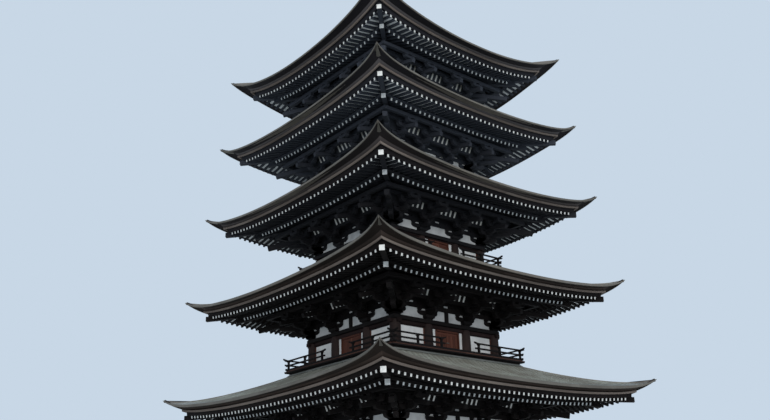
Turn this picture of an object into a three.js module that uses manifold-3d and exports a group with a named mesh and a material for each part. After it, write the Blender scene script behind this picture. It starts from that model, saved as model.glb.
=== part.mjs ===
// A five-storey timber pagoda with upswept copper roofs and a metal finial.
// Millimetres, +Z up, the origin on the ground at the middle of the plan.
// The four sides are alike, so most pieces are made once for the side facing -Y and turned.
import * as THREE from 'three';
import { mergeVertices } from 'three/addons/utils/BufferGeometryUtils.js';
import Module from 'manifold-3d';

const wasm = await Module();
wasm.setup();

// Driving dimensions, one value a storey where there are five.
const GAP = 0.3;
const RAFTER_PITCH = 207;
const RAFTER_COUNT = [49, 45, 41, 38, 35];
const ROW_Z = [5273, 8694, 11799, 14670, 17237];
const ROW_LIFT = [241, 241, 261, 268, 444];
const TIP_RISE = [825, 838, 861, 843, 1140];
const TIP_OVER = [645, 645, 645, 645, 725];
const EAVE_TOP = [318, 279, 242, 245, 228];
const EAVE_OVER = [460, 470, 480, 490, 510];
const BASE_ROW_BACK = [785, 785, 785, 785, 589];
const BODY_HALF = [2450, 2194, 2005, 1830, 1670];
const COLUMN_RADIUS = [200, 178, 158, 146, 136];
const FLOOR_Z = [900, 6930, 10220, 13170, 15930];
const BEAM_Z = [4310, 7655, 10830, 13690, 16310];
const PLATE_Z = [4600, 7948, 11000, 13890, 16500];
const DECK_OVER = [0, 716, 565, 490, 450];
const LIFT_POWER = 2.5;
const UPSWEEP_POWER = 2.15;
const APEX_Z = 20200;
const APEX_HALF = 480;
const TOP_Z = 30000;

// Sizes shared by every storey.
const ROW_MARGIN = 290;
const INNER_RATIO = 0.385;
const BASE_ROW_DROP = 35;
const RAFTER_HALF = 55;
const EAVE_BOARD = 120;
const EAVE_SEAT = 350;
const FACE_FOOT = 50;
const SEAT_GAP = 25;
const TIP_SPIKE = 180;
const SOFFIT_SLOPE = 0.42;
const FLYING_RISE = 157;
const SOFFIT_THICK = 190;
const SHELL_THICK = 150;
const TIE_HALF = 80;
const PLATE_HALF = 158;
const PLATE_THICK = 130;
const WALL_OUT = 45;
const WALL_IN = 65;
const SILL_HIGH = 100;
const DECK_BOARD = 100;
const DECK_THICK = 190;
const DECK_BACK = 130;
const ROOF_UNDER_DECK = 190;
const RAIL_BACK = 110;
const RAIL_PAST = 220;
const RAIL_START = 0.76;
const RAIL_POST = 0.98;
const RAIL_HALF = 28;
const RAIL_LOW = 345;
const RAIL_HIGH = 400;
const GROUND_RAIL_HALF = 35;
const GROUND_RAIL_HIGH = 75;
const DOOR_CLEAR = 4;
const DOOR_POST = 160;
const LEAF_HALF = 25;
const PODIUM_HALF = 3850;

const COPPER = new THREE.MeshStandardMaterial({ color: 0x77807a, roughness: 0.55, metalness: 0.8 });
const TIMBER = new THREE.MeshStandardMaterial({ color: 0x241c18, roughness: 0.75, metalness: 0 });
const PLASTER = new THREE.MeshStandardMaterial({ color: 0xd9d8d2, roughness: 0.9, metalness: 0 });
const DOOR_TIMBER = new THREE.MeshStandardMaterial({ color: 0x5a3126, roughness: 0.7, metalness: 0 });
const GRANITE = new THREE.MeshStandardMaterial({ color: 0x9a9890, roughness: 0.85, metalness: 0 });
const BRONZE = new THREE.MeshStandardMaterial({ color: 0x5d665c, roughness: 0.5, metalness: 0.9 });

const pagoda = new THREE.Group();

/** Adds one named piece to the pagoda. */
function addPiece(name, solid, material) {
  const mesh = new THREE.Mesh(solid.isBufferGeometry ? solid : toGeometry(solid), material);
  mesh.name = name;
  pagoda.add(mesh);
}

/** Turns a closed geometry into a solid that can be joined and cut. */
function toSolid(geometry) {
  const bare = geometry.clone();
  bare.deleteAttribute('normal');
  bare.deleteAttribute('uv');
  const merged = mergeVertices(bare, 1e-3);
  return new wasm.Manifold(new wasm.Mesh({
    numProp: 3,
    vertProperties: new Float32Array(merged.attributes.position.array),
    triVerts: new Uint32Array(merged.index.array),
  }));
}

function toGeometry(solid) {
  const mesh = solid.getMesh();
  const geometry = new THREE.BufferGeometry();
  geometry.setAttribute('position', new THREE.BufferAttribute(new Float32Array(mesh.vertProperties), 3));
  geometry.setIndex(new THREE.BufferAttribute(new Uint32Array(mesh.triVerts), 1));
  return geometry;
}

const joinAll = (solids) => solids.reduce((sum, solid) => sum.add(solid));

/** A box between two corners. */
function block(x0, x1, y0, y1, z0, z1) {
  const geometry = new THREE.BoxGeometry(x1 - x0, y1 - y0, z1 - z0);
  geometry.translate((x0 + x1) / 2, (y0 + y1) / 2, (z0 + z1) / 2);
  return toSolid(geometry);
}

/** A square ring with plain upright sides, given by its outer and inner half-widths. */
function squareRing(outer, inner, z0, z1) {
  const whole = block(-outer, outer, -outer, outer, z0, z1);
  return whole.subtract(block(-inner, inner, -inner, inner, z0 - 1, z1 + 1));
}

/** An upright round post with few sides. */
function post(x, y, radius, z0, z1, sides = 8) {
  const geometry = new THREE.CylinderGeometry(radius, radius, z1 - z0, sides);
  geometry.rotateX(Math.PI / 2);
  geometry.rotateZ(Math.PI / sides);
  geometry.translate(x, y, (z0 + z1) / 2);
  return toSolid(geometry);
}

/** A profile of [radius, height] points turned about the vertical axis. */
function turned(points, segments) {
  const geometry = new THREE.LatheGeometry(points.map(([r, z]) => new THREE.Vector2(r, z)), segments);
  geometry.rotateX(Math.PI / 2);
  return geometry;
}

/** Copies of a solid on all four sides, joined. */
function onFourSides(solid) {
  return joinAll([0, 90, 180, 270].map((degrees) => solid.rotate([0, 0, degrees])));
}

// Stations along one side, from one corner nearly to the next.
const STATIONS = [-1, -0.96, -0.88, -0.75, -0.5, -0.25, 0, 0.25, 0.5, 0.75, 0.88, 0.96];

/** A ring swept round the four sides; section(u) lists its [distance, height] points. */
function sweptRing(section) {
  const rows = [];
  for (let side = 0; side < 4; side += 1) {
    const turn = side * Math.PI / 2;
    for (const u of STATIONS) {
      rows.push(section(Math.abs(u)).map(([d, z]) => {
        const point = new THREE.Vector3(u * d, -d, z);
        return point.applyAxisAngle(new THREE.Vector3(0, 0, 1), turn);
      }));
    }
  }
  const size = rows[0].length;
  const index = [];
  rows.forEach((row, i) => {
    const next = (i + 1) % rows.length;
    for (let k = 0; k < size; k += 1) {
      const l = (k + 1) % size;
      index.push(i * size + k, next * size + k, next * size + l);
      index.push(i * size + k, next * size + l, i * size + l);
    }
  });
  const geometry = new THREE.BufferGeometry().setFromPoints(rows.flat());
  geometry.setIndex(index);
  return geometry;
}

/** Everything that is worked out from the driving dimensions for one storey. */
function storeySizes(i) {
  const rowHalf = (RAFTER_COUNT[i] - 1) / 2 * RAFTER_PITCH + ROW_MARGIN;
  const half = BODY_HALF[i];
  const baseHalf = rowHalf - BASE_ROW_BACK[i];
  const deckHalf = half + DECK_OVER[i];
  return {
    i,
    half,
    rowHalf,
    baseHalf,
    deckHalf,
    radius: COLUMN_RADIUS[i],
    inner: half * INNER_RATIO,
    floor: FLOOR_Z[i],
    beam: BEAM_Z[i],
    plate: PLATE_Z[i],
    row: ROW_Z[i],
    lift: ROW_LIFT[i],
    // Underside of the base rafters over the wall line.
    soffit: ROW_Z[i] - BASE_ROW_DROP - RAFTER_HALF + SOFFIT_SLOPE * (baseHalf - half),
  };
}

/** Upward curve of the eaves at distance d from the axis and station u. */
function soffitLift(s, d, u) {
  const share = Math.max(0, (d - s.half) / (s.rowHalf - s.half));
  return s.lift * share ** 1.4 * u ** LIFT_POWER;
}

/** Round columns with a tie beam between their heads and a plate over them. */
function frame(s) {
  const places = [-s.half, -s.inner, s.inner, s.half];
  const plateLow = s.plate - PLATE_THICK;
  const solids = [
    squareRing(s.half + PLATE_HALF, s.half - PLATE_HALF, plateLow, s.plate),
    squareRing(s.half + TIE_HALF, s.half - TIE_HALF, s.beam, plateLow + 1),
  ];
  for (const x of places) {
    for (const y of places) {
      if (Math.max(Math.abs(x), Math.abs(y)) === s.half) {
        solids.push(post(x, y, s.radius, s.floor + GAP, plateLow + 1));
      }
    }
  }
  const slot = squareRing(s.half + WALL_OUT + GAP, s.half - WALL_IN - GAP, s.floor - 10, s.beam);
  return joinAll(solids).subtract(slot);
}

const doorHalf = (s) => s.inner - s.radius - DOOR_POST;
// The ground storey has a panel over its doors; the others reach nearly to the tie beam.
const doorHead = (s) => (s.i === 0 ? 500 : 60);

/** Plaster walls between the columns, with a doorway in the middle bay of each side. */
function walls(s) {
  const ring = squareRing(s.half + WALL_OUT, s.half - WALL_IN, s.floor + SILL_HIGH + GAP, s.beam - GAP);
  const w = doorHalf(s);
  const low = s.floor + SILL_HIGH - 10;
  const high = s.beam - doorHead(s);
  const doorway = block(-w, w, -s.half - 500, s.half + 500, low, high);
  return ring.subtract(doorway).subtract(doorway.rotate([0, 0, 90]));
}

/** Two door leaves on each side, standing on the sill that runs round the building. */
function doors(s) {
  const w = doorHalf(s) - DOOR_CLEAR;
  const sill = squareRing(s.half + WALL_OUT, s.half - WALL_IN, s.floor + GAP, s.floor + SILL_HIGH);
  const high = s.beam - doorHead(s) - DOOR_CLEAR;
  const leaf = block(DOOR_CLEAR, w, -s.half - LEAF_HALF, -s.half + LEAF_HALF, s.floor + SILL_HIGH - 5, high);
  return sill.add(onFourSides(leaf.add(leaf.mirror([1, 0, 0]))));
}

// The bracket sets step out three times between the plate and the rafters.
const STEP_OUT = [390, 760, 1130];
const STEP_SHARE = [0.27, 0.58, 0.84];
const STEP_SLOPE = 30;
const ARM_HALF = 75;
const ARM_END = 90;
const BLOCK_HALF = 150;
const BAND_CLEAR = 25;
const PURLIN_CLEAR = 10;
const PURLIN_HALF = 75;
const PURLIN_HIGH = 130;

/** An extruded outline of [distance, height] points, centred on x and standing out to -Y. */
function standingOut(points, x, halfWidth) {
  const shape = new THREE.Shape(points.map(([d, z]) => new THREE.Vector2(d, z)));
  const geometry = new THREE.ExtrudeGeometry(shape, { depth: 2 * halfWidth, bevelEnabled: false });
  // The outline's first axis turns to -Y and its second to +Z.
  const turn = new THREE.Matrix4().makeBasis(
    new THREE.Vector3(0, -1, 0), new THREE.Vector3(0, 0, 1), new THREE.Vector3(-1, 0, 0));
  geometry.applyMatrix4(turn);
  geometry.translate(x + halfWidth, 0, 0);
  return toSolid(geometry);
}

/** Top of the eaves purlin, just under the base rafters. */
function purlinTop(s) {
  const outerEdge = s.half + STEP_OUT[2] + PURLIN_HALF;
  return s.row - BASE_ROW_DROP - RAFTER_HALF - PURLIN_CLEAR + SOFFIT_SLOPE * (s.baseHalf - outerEdge);
}

/** The square beam under the base rafters, carried by the ends of the bracket arms. */
function purlin(s) {
  const middle = s.half + STEP_OUT[2];
  return squareRing(middle + PURLIN_HALF, middle - PURLIN_HALF, purlinTop(s) - PURLIN_HIGH, purlinTop(s));
}

/** The wall band over the plate, with arms that step out over each column. */
function brackets(s) {
  const low = s.plate + GAP;
  const seat = purlinTop(s) - PURLIN_HIGH - GAP;
  const inside = s.half - WALL_IN / 2;
  const outline = [[inside, seat], [inside, low], [s.half + BLOCK_HALF, low]];
  let reach = s.half + BLOCK_HALF;
  STEP_OUT.forEach((out, n) => {
    const height = low + STEP_SHARE[n] * (seat - low);
    outline.push([reach, height]);
    reach = s.half + out + ARM_END;
    outline.push([reach, height + STEP_SLOPE]);
  });
  outline.push([reach, seat]);
  const pair = standingOut(outline, s.inner, ARM_HALF).add(standingOut(outline, -s.inner, ARM_HALF));
  // A diagonal arm at each corner carries the hip rafter.
  const corner = standingOut(outline.map(([d, z]) => [d * Math.SQRT2, z]), 0, ARM_HALF);
  return joinAll([
    squareRing(s.half + WALL_OUT, s.half - WALL_IN, low, s.soffit - BAND_CLEAR),
    onFourSides(pair),
    onFourSides(corner.rotate([0, 0, 45])),
  ]);
}

/** Top of the bed of rafters, a straight line from the eave board in to the wall. */
function bedTop(s, d, u) {
  const inside = s.half - WALL_IN;
  const outerZ = s.row + RAFTER_HALF + EAVE_BOARD + s.lift * u ** LIFT_POWER;
  const innerZ = s.soffit + SOFFIT_SLOPE * WALL_IN + SOFFIT_THICK;
  return outerZ + (innerZ - outerZ) * (s.rowHalf - d) / (s.rowHalf - inside);
}

/** The sloping bed of base and flying rafters under one roof. */
function rafters(s) {
  const inside = s.half - WALL_IN;
  return sweptRing((u) => {
    const at = (d, z) => [d, z + soffitLift(s, d, u)];
    const base = s.row - BASE_ROW_DROP - RAFTER_HALF;
    const flying = s.row - RAFTER_HALF;
    return [
      at(s.rowHalf, flying),
      [s.rowHalf, bedTop(s, s.rowHalf, u)],
      [inside, bedTop(s, inside, u)],
      at(inside, s.soffit + SOFFIT_SLOPE * WALL_IN),
      at(s.baseHalf, base),
      at(s.baseHalf, flying + FLYING_RISE),
    ];
  });
}

/** A roof shell with a deep eave edge that sweeps up to a point at each corner. */
function roof(s, innerHalf, innerZ, power) {
  const outer = s.rowHalf + EAVE_OVER[s.i];
  const lip = s.row + EAVE_TOP[s.i];
  const sweep = TIP_RISE[s.i] - EAVE_TOP[s.i] - TIP_SPIKE;
  const under = s.rowHalf - EAVE_SEAT;
  // share runs from 0 at the eave to 1 at the top; u from 0 at mid-side to 1 at the corner.
  const copper = (share, u) => {
    const down = 1 - share;
    const flare = (TIP_OVER[s.i] - EAVE_OVER[s.i]) * u ** 8 * down ** 3;
    const upsweep = sweep * u ** UPSWEEP_POWER * down ** 1.5 + TIP_SPIKE * u ** 16 * down ** 8;
    return [outer + (innerHalf - outer) * share + flare, lip + (innerZ - lip) * share ** power + upsweep];
  };
  return sweptRing((u) => {
    const top = [0, 0.3, 0.65, 1].map((share) => copper(share, u));
    const [midD, midZ] = top[2];
    const [lastD, lastZ] = top[3];
    return [
      ...top,
      [lastD, lastZ - SHELL_THICK],
      [midD, midZ - SHELL_THICK],
      [under, bedTop(s, under, u) + SEAT_GAP],
      [s.rowHalf + FACE_FOOT, bedTop(s, s.rowHalf, u) + 2 * GAP],
    ];
  });
}

/** The floor of an upper storey, which runs out past the walls as a balcony over a set-back base. */
function deck(s) {
  const slab = (half, z0, z1) => block(-half, half, -half, half, z0, z1);
  const boards = slab(s.deckHalf, s.floor - DECK_BOARD, s.floor);
  return boards.add(slab(s.deckHalf - DECK_BACK, s.floor - DECK_THICK, s.floor - DECK_BOARD + 1));
}

/** Low balcony railing with crossing rail ends, open in front of each door. */
function railing(s) {
  const plane = s.deckHalf - RAIL_BACK;
  const bar = (x0, x1, z0, z1) => {
    return block(x0, x1, -plane - RAIL_HALF, -plane + RAIL_HALF, s.floor + z0, s.floor + z1);
  };
  const postAt = (x) => bar(x - RAIL_HALF, x + RAIL_HALF, GROUND_RAIL_HIGH - 1, RAIL_LOW + 1);
  const firstPost = s.inner * RAIL_POST;
  const half = joinAll([
    bar(s.inner * RAIL_START, plane + RAIL_PAST, RAIL_LOW, RAIL_HIGH),
    postAt(firstPost),
    postAt((firstPost + plane) / 2),
    postAt(plane),
  ]);
  const groundRail = squareRing(
    plane + GROUND_RAIL_HALF, plane - GROUND_RAIL_HALF, s.floor + GAP, s.floor + GROUND_RAIL_HIGH);
  return groundRail.add(onFourSides(half.add(half.mirror([1, 0, 0]))));
}

// Storeys, from the ground up.
const storeys = BODY_HALF.map((_, i) => storeySizes(i));
storeys.forEach((s, i) => {
  const name = (piece) => `storey_${i + 1}_${piece}`;
  const above = storeys[i + 1];
  const roofInner = above ? above.deckHalf - ROOF_UNDER_DECK : APEX_HALF;
  const roofInnerZ = above ? above.floor - DECK_THICK - GAP : APEX_Z;
  const power = above ? 1.2 : 1.35;
  addPiece(name('frame'), frame(s), TIMBER);
  addPiece(name('walls'), walls(s), PLASTER);
  addPiece(name('doors'), doors(s), DOOR_TIMBER);
  addPiece(name('brackets'), brackets(s), TIMBER);
  addPiece(name('purlin'), purlin(s), TIMBER);
  addPiece(name('rafters'), rafters(s), TIMBER);
  addPiece(name('roof'), roof(s, roofInner, roofInnerZ, power), COPPER);
  if (above) {
    addPiece(`storey_${i + 2}_floor`, deck(above), TIMBER);
    addPiece(`storey_${i + 2}_railing`, railing(above), TIMBER);
  }
});

// Stone podium with a short flight of steps on each side.
const PODIUM_TOP = FLOOR_Z[0];
const CAP_THICK = 160;
const CAP_PROUD = 90;
const BODY_PODIUM = PODIUM_HALF - CAP_PROUD;
const podiumCap = block(
  -PODIUM_HALF, PODIUM_HALF, -PODIUM_HALF, PODIUM_HALF, PODIUM_TOP - CAP_THICK, PODIUM_TOP);
const podiumBody = block(
  -BODY_PODIUM, BODY_PODIUM, -BODY_PODIUM, BODY_PODIUM, 0, PODIUM_TOP - CAP_THICK + 1);
addPiece('podium', podiumCap.add(podiumBody), GRANITE);

const STEP_COUNT = 5;
const STEP_TREAD = 290;
const STEP_HALF = 950;
const stepRise = PODIUM_TOP / (STEP_COUNT + 1);
['front', 'right', 'back', 'left'].forEach((side, k) => {
  const treads = [];
  for (let n = 1; n <= STEP_COUNT; n += 1) {
    const reach = PODIUM_HALF + (STEP_COUNT + 1 - n) * STEP_TREAD;
    treads.push(block(-STEP_HALF, STEP_HALF, -reach, -PODIUM_HALF - GAP, 0, n * stepRise));
  }
  addPiece(`steps_${side}`, joinAll(treads).rotate([0, 0, 90 * k]), GRANITE);
});

// Finial, from the bottom: box, inverted bowl, lotus, mast with nine rings, water flame, ball and jewel.
const BOX_HALF = 480;
const BOX_HIGH = 560;
const BOX_LIP = 90;
const boxTop = APEX_Z + BOX_HIGH;
const boxLip = BOX_HALF + BOX_LIP;
addPiece('finial_box', joinAll([
  block(-BOX_HALF, BOX_HALF, -BOX_HALF, BOX_HALF, APEX_Z + GAP, boxTop - BOX_LIP + 1),
  block(-boxLip, boxLip, -boxLip, boxLip, boxTop - BOX_LIP, boxTop),
]), BRONZE);

const BOWL_RADIUS = 470;
const BOWL_HIGH = 440;
const bowlTop = boxTop + BOWL_HIGH;
const bowl = [[0, boxTop + GAP], [BOWL_RADIUS, boxTop + GAP]];
const BOWL_STEPS = 4;
for (let n = 0; n < BOWL_STEPS; n += 1) {
  // The dome follows an oval with a flat top under the lotus.
  const angle = (20 + n * 18) * Math.PI / 180;
  bowl.push([BOWL_RADIUS * Math.cos(angle), boxTop + BOWL_HIGH * Math.sin(angle)]);
}
bowl.push([BOWL_RADIUS * 0.3, bowlTop], [0, bowlTop]);
addPiece('finial_bowl', turned(bowl, 16), BRONZE);

const LOTUS_HIGH = 330;
const LOTUS_RADIUS = 560;
const LOTUS_CUP = 150;
const lotusTop = bowlTop + LOTUS_HIGH;
const cupFloor = bowlTop + LOTUS_CUP;
const lotus = [
  [0, bowlTop + GAP], [200, bowlTop + GAP], [215, bowlTop + 60], [390, cupFloor + 10],
  [LOTUS_RADIUS, lotusTop], [LOTUS_RADIUS - 60, lotusTop], [300, cupFloor + 50],
  [130, cupFloor], [0, cupFloor],
];
addPiece('finial_lotus', turned(lotus, 16), BRONZE);

const RING_COUNT = 9;
const RING_FIRST = lotusTop + 500;
const RING_SPACING = 550;
const RING_RADIUS = 700;
const RING_TAPER = 30;
const RING_HALF = 45;
const RING_WIDE = 70;
const RING_SIDES = 10;
const SPOKE_HALF = 22;
const MAST_RADIUS = 85;
const flameLow = RING_FIRST + (RING_COUNT - 1) * RING_SPACING + 330;
const mast = [post(0, 0, MAST_RADIUS, cupFloor + GAP, flameLow)];
for (let n = 0; n < RING_COUNT; n += 1) {
  const radius = RING_RADIUS - n * RING_TAPER;
  const z = RING_FIRST + n * RING_SPACING;
  const disc = post(0, 0, radius, z - RING_HALF, z + RING_HALF, RING_SIDES);
  const hole = post(0, 0, radius - RING_WIDE, z - RING_HALF - 1, z + RING_HALF + 1, RING_SIDES);
  const spokeHalf = radius - RING_WIDE + 10;
  const spoke = block(-spokeHalf, spokeHalf, -SPOKE_HALF, SPOKE_HALF, z - SPOKE_HALF, z + SPOKE_HALF);
  mast.push(disc.subtract(hole), spoke.rotate([0, 0, 90 * (n % 2)]));
}
addPiece('finial_mast_and_rings', joinAll(mast), BRONZE);

// Two crossed plates with a bulging outline make the openwork flame.
const JEWEL_HIGH = 1050;
const FLAME_THICK = 40;
const FLAME_FOOT = 60;
const FLAME_TIP = 45;
const flameTop = TOP_Z - JEWEL_HIGH;
const flameHigh = flameTop - flameLow;
const flameShape = new THREE.Shape();
flameShape.moveTo(-FLAME_FOOT, 0);
flameShape.lineTo(FLAME_FOOT, 0);
flameShape.bezierCurveTo(560, 120, 520, 620, 330, 800);
flameShape.bezierCurveTo(300, 1000, 120, 1120, FLAME_TIP, flameHigh);
flameShape.lineTo(-FLAME_TIP, flameHigh);
flameShape.bezierCurveTo(-120, 1120, -300, 1000, -330, 800);
flameShape.bezierCurveTo(-520, 620, -560, 120, -FLAME_FOOT, 0);
const flamePlate = new THREE.ExtrudeGeometry(
  flameShape, { depth: FLAME_THICK, bevelEnabled: false, curveSegments: 5 });
flamePlate.rotateX(Math.PI / 2);
flamePlate.translate(0, FLAME_THICK / 2, flameLow + GAP);
const flame = toSolid(flamePlate);
addPiece('finial_flame', flame.add(flame.rotate([0, 0, 90])), BRONZE);

const jewelLow = flameTop + 2 * GAP;
const jewel = [
  [0, jewelLow], [50, jewelLow], [60, jewelLow + 90], [210, jewelLow + 230], [210, jewelLow + 300],
  [70, jewelLow + 420], [60, jewelLow + 560], [190, jewelLow + 700], [180, jewelLow + 800],
  [60, jewelLow + 950], [0, TOP_Z],
];
addPiece('finial_jewel', turned(jewel, 12), BRONZE);

export default pagoda;
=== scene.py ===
# %% [markdown]
# # A five-storey timber pagoda under weathered copper
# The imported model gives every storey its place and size: round columns, walls, bracket sets,
# rafters and a copper roof, five times over, then a metal finial. This lesson dresses it. Each
# piece is made from the solids that a carpenter, a coppersmith or a mason would cut, at their real
# sizes, and each finish starts from what the real surface is.
#
# Everything is in metres and +Z is up. The four sides of the building are alike, so a piece is
# worked out once for the side that faces -Y and is then turned to the other three.

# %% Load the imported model
import math

import bpy
import numpy as np
from mathutils import Matrix, Vector


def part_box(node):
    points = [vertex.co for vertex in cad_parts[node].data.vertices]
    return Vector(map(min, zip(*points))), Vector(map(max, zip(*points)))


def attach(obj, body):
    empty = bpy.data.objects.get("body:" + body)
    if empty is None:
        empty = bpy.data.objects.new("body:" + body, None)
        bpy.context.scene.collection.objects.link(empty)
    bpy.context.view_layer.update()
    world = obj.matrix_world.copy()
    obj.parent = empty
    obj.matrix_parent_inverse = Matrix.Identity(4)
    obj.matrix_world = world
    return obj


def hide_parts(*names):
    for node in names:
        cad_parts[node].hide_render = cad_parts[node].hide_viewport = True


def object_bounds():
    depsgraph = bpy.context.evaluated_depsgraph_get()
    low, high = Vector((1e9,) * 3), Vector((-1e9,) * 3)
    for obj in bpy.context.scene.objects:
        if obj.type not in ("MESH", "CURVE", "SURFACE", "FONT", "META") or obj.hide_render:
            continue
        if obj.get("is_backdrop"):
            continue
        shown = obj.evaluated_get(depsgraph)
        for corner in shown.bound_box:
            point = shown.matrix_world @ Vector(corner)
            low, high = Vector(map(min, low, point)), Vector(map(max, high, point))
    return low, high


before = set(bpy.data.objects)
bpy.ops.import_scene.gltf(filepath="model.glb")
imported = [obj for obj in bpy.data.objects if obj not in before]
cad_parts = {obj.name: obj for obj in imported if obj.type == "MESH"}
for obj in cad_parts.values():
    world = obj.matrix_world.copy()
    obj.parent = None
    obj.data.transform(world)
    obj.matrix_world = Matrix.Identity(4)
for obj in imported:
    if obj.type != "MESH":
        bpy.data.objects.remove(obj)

cad_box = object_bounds()
print("nodes in the frame:", len(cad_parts))
print("size of the frame in metres:", [round(high - low, 3) for low, high in zip(*cad_box)])

# %% [markdown]
# ## What the frame says of each storey
# A carpenter sets out a pagoda from a few lines: the plane of the columns, the plate on top of
# them, the row of rafter ends and the height of the floor. They could be typed in again here, but
# then the looks and the solids could drift apart, so they are read from the boxes of the nodes.
# Only the small sizes that a box can't tell, such as the number of rafters, are written down.

# %% One record for each storey
# A list of five values gives one for each storey, from the lowest up.
RAFTER_PITCH = [0.2064, 0.2067, 0.2083, 0.2072, 0.2071]
RAFTER_COUNT = [49, 45, 41, 38, 35]
EAVE_LIFT = [0.241, 0.241, 0.261, 0.268, 0.444]
TIP_RISE = [0.825, 0.838, 0.861, 0.843, 1.140]
COLUMN_RADIUS = [0.200, 0.178, 0.158, 0.146, 0.136]
BASE_ROW_BACK = [0.785, 0.785, 0.785, 0.785, 0.589]
BASE_ROW_SKIP = [4, 4, 4, 4, 3]
BEAM_RAISE = [0.0, 0.045, 0.0, 0.0, 0.0]
BASE_ROW_DROP = 0.035
BASE_SLOPE = 0.42
FLYING_SLOPE = 0.2
RAFTER_HALF = 0.055
WALL_OUT = 0.045
MIDDLE_BAY = 0.385
DECK_UNDER = 0.19
APEX_Z = 20.2
APEX_HALF = 0.48
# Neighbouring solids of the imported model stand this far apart.
HAIR = 0.0003
# A bracket set is drawn for this height, from the plate to the purlin, and scaled to each storey.
SET_DRAWN = 0.787
# The eaves stay level in the middle of a side and lift late, towards the corners.
LIFT_LATE = 2.5
LIFT_OUTWARD = 1.4


class Storey:
    """The setting-out lines of one storey."""

    def __init__(self, i):
        name = f"storey_{i + 1}"
        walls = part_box(f"{name}_walls")
        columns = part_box(f"{name}_frame")
        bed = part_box(f"{name}_rafters")
        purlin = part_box(f"{name}_purlin")
        self.i = i
        self.name = name
        self.half = walls[1].x - WALL_OUT
        self.beam = walls[1].z + HAIR + BEAM_RAISE[i]
        self.floor = columns[0].z - HAIR
        self.plate = columns[1].z
        self.row_half = bed[1].x
        self.row = bed[0].z + RAFTER_HALF + BASE_ROW_DROP
        self.base_half = self.row_half - BASE_ROW_BACK[i]
        self.purlin_out = purlin[1].x
        self.purlin_low = purlin[0].z
        self.purlin_top = purlin[1].z
        self.scale = (self.purlin_low - self.plate) / SET_DRAWN
        self.radius = COLUMN_RADIUS[i]
        self.inner = self.half * MIDDLE_BAY
        self.lift = EAVE_LIFT[i]
        if i > 0:
            self.deck_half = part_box(f"{name}_floor")[1].x

    def soffit_lift(self, d, u):
        """How much the curve of the eaves raises a rafter at distance d and station u."""
        share = np.clip((d - self.half) / (self.row_half - self.half), 0, None)
        return self.lift * share ** LIFT_OUTWARD * np.abs(u) ** LIFT_LATE


storeys = [Storey(i) for i in range(5)]
for s in storeys:
    print(s.name, "half", round(s.half, 3), "row", round(s.row, 3), "row half", round(s.row_half, 3),
          "plate", round(s.plate, 3), "purlin", round(s.purlin_low, 3))

# %% [markdown]
# ## Colours and nodes
# A painter matches colours on a screen, where they are sRGB, while a shader adds up light, which
# is linear. One function turns a hex colour to linear, so every colour below is read in the same
# way. One more adds a shader node with its settings and links, and a few short ones name what the
# finishes share, such as noise and a run of colours. That keeps each finish short.

# %% Turn a hex colour to linear light
def linear(hex_colour):
    """An sRGB hex colour as the linear RGBA that a shader works in."""
    parts = [int(hex_colour[k:k + 2], 16) / 255 for k in (1, 3, 5)]
    return [p / 12.92 if p <= 0.04045 else ((p + 0.055) / 1.055) ** 2.4 for p in parts] + [1.0]


print("#808080 in linear light:", round(linear("#808080")[0], 3))

# %% Add a node with its settings and links
def feed(tree, node, inputs):
    """Gives each input of a node a value, or links another node's socket to it."""
    for key, value in inputs.items():
        if isinstance(value, bpy.types.NodeSocket):
            tree.links.new(value, node.inputs[key])
        else:
            node.inputs[key].default_value = value


def add(tree, kind, inputs=None, **settings):
    """Adds one shader node with its settings and feeds its inputs."""
    made = tree.nodes.new("ShaderNode" + kind)
    for key, value in settings.items():
        setattr(made, key, value)
    feed(tree, made, inputs or {})
    return made


def on_building(tree):
    """The place of a point on the building, in metres."""
    return add(tree, "TexCoord").outputs["Object"]


def on_member(tree):
    """The place of a point on its own member, sheet or stone, from the map named grain."""
    return add(tree, "UVMap", uv_map="grain").outputs["UV"]


def noise(tree, place, scale, detail=2.0, roughness=0.5):
    return add(tree, "TexNoise", {"Vector": place, "Scale": scale, "Detail": detail,
                                  "Roughness": roughness}).outputs["Fac"]


def weighed(tree, value, share, rest=0.0):
    """A share of one value, plus the rest."""
    return add(tree, "Math", {0: value, 1: share, 2: rest}, operation="MULTIPLY_ADD").outputs[0]


def ranged(tree, value, low, high, start=0.0, stop=1.0):
    """Spreads a value that runs from start to stop between two limits."""
    return add(tree, "MapRange", {0: value, 1: start, 2: stop, 3: low, 4: high}).outputs[0]


def ramp(tree, places, colours, share):
    """A colour that runs through hex colours at the given places as a share grows."""
    made = add(tree, "ValToRGB", {"Fac": share})
    elements = made.color_ramp.elements
    while len(elements) < len(places):
        elements.new(0.5)
    for element, place, colour in zip(elements, places, colours.split()):
        element.position = place
        element.color = linear(colour)
    return made.outputs["Color"]


finishes = {}


def new_finish(name):
    """The node tree of a new material, which the pieces know by its name."""
    material = bpy.data.materials.new(name)
    material.use_nodes = True
    finishes[name] = material
    return material.node_tree


def dress(tree, colour, rough, height, relief, more=None):
    """Gives a finish its colour and roughness, and a relief so many metres deep."""
    bump = add(tree, "Bump", {"Height": height, "Distance": relief}).outputs[0]
    feed(tree, tree.nodes["Principled BSDF"],
         {"Base Color": colour, "Roughness": rough, "Normal": bump, **(more or {})})


# %% [markdown]
# ## Timber
# The pagoda's frame is cypress that was stained and has been out in the weather for decades. It
# could be one plain brown, but sawn wood shows its grain along each member, and every member took
# the stain in its own way. Each small solid below carries a map named "grain": its first axis runs
# along the member in metres, and every member has its own offset. Noise read through that map is
# drawn out along the grain and differs from one member to the next.

# %% Make one kind of weathered timber
GRAIN_LONG = 0.9
# Real grain lines are 2 to 4 mm apart, too fine to show here, so they are drawn 18 mm apart.
GRAIN_WIDE = 0.018
# The painted haze starts at the first height and is strongest from the second height up.
HAZE_FROM = 10.5
HAZE_TO = 15.0


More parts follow.
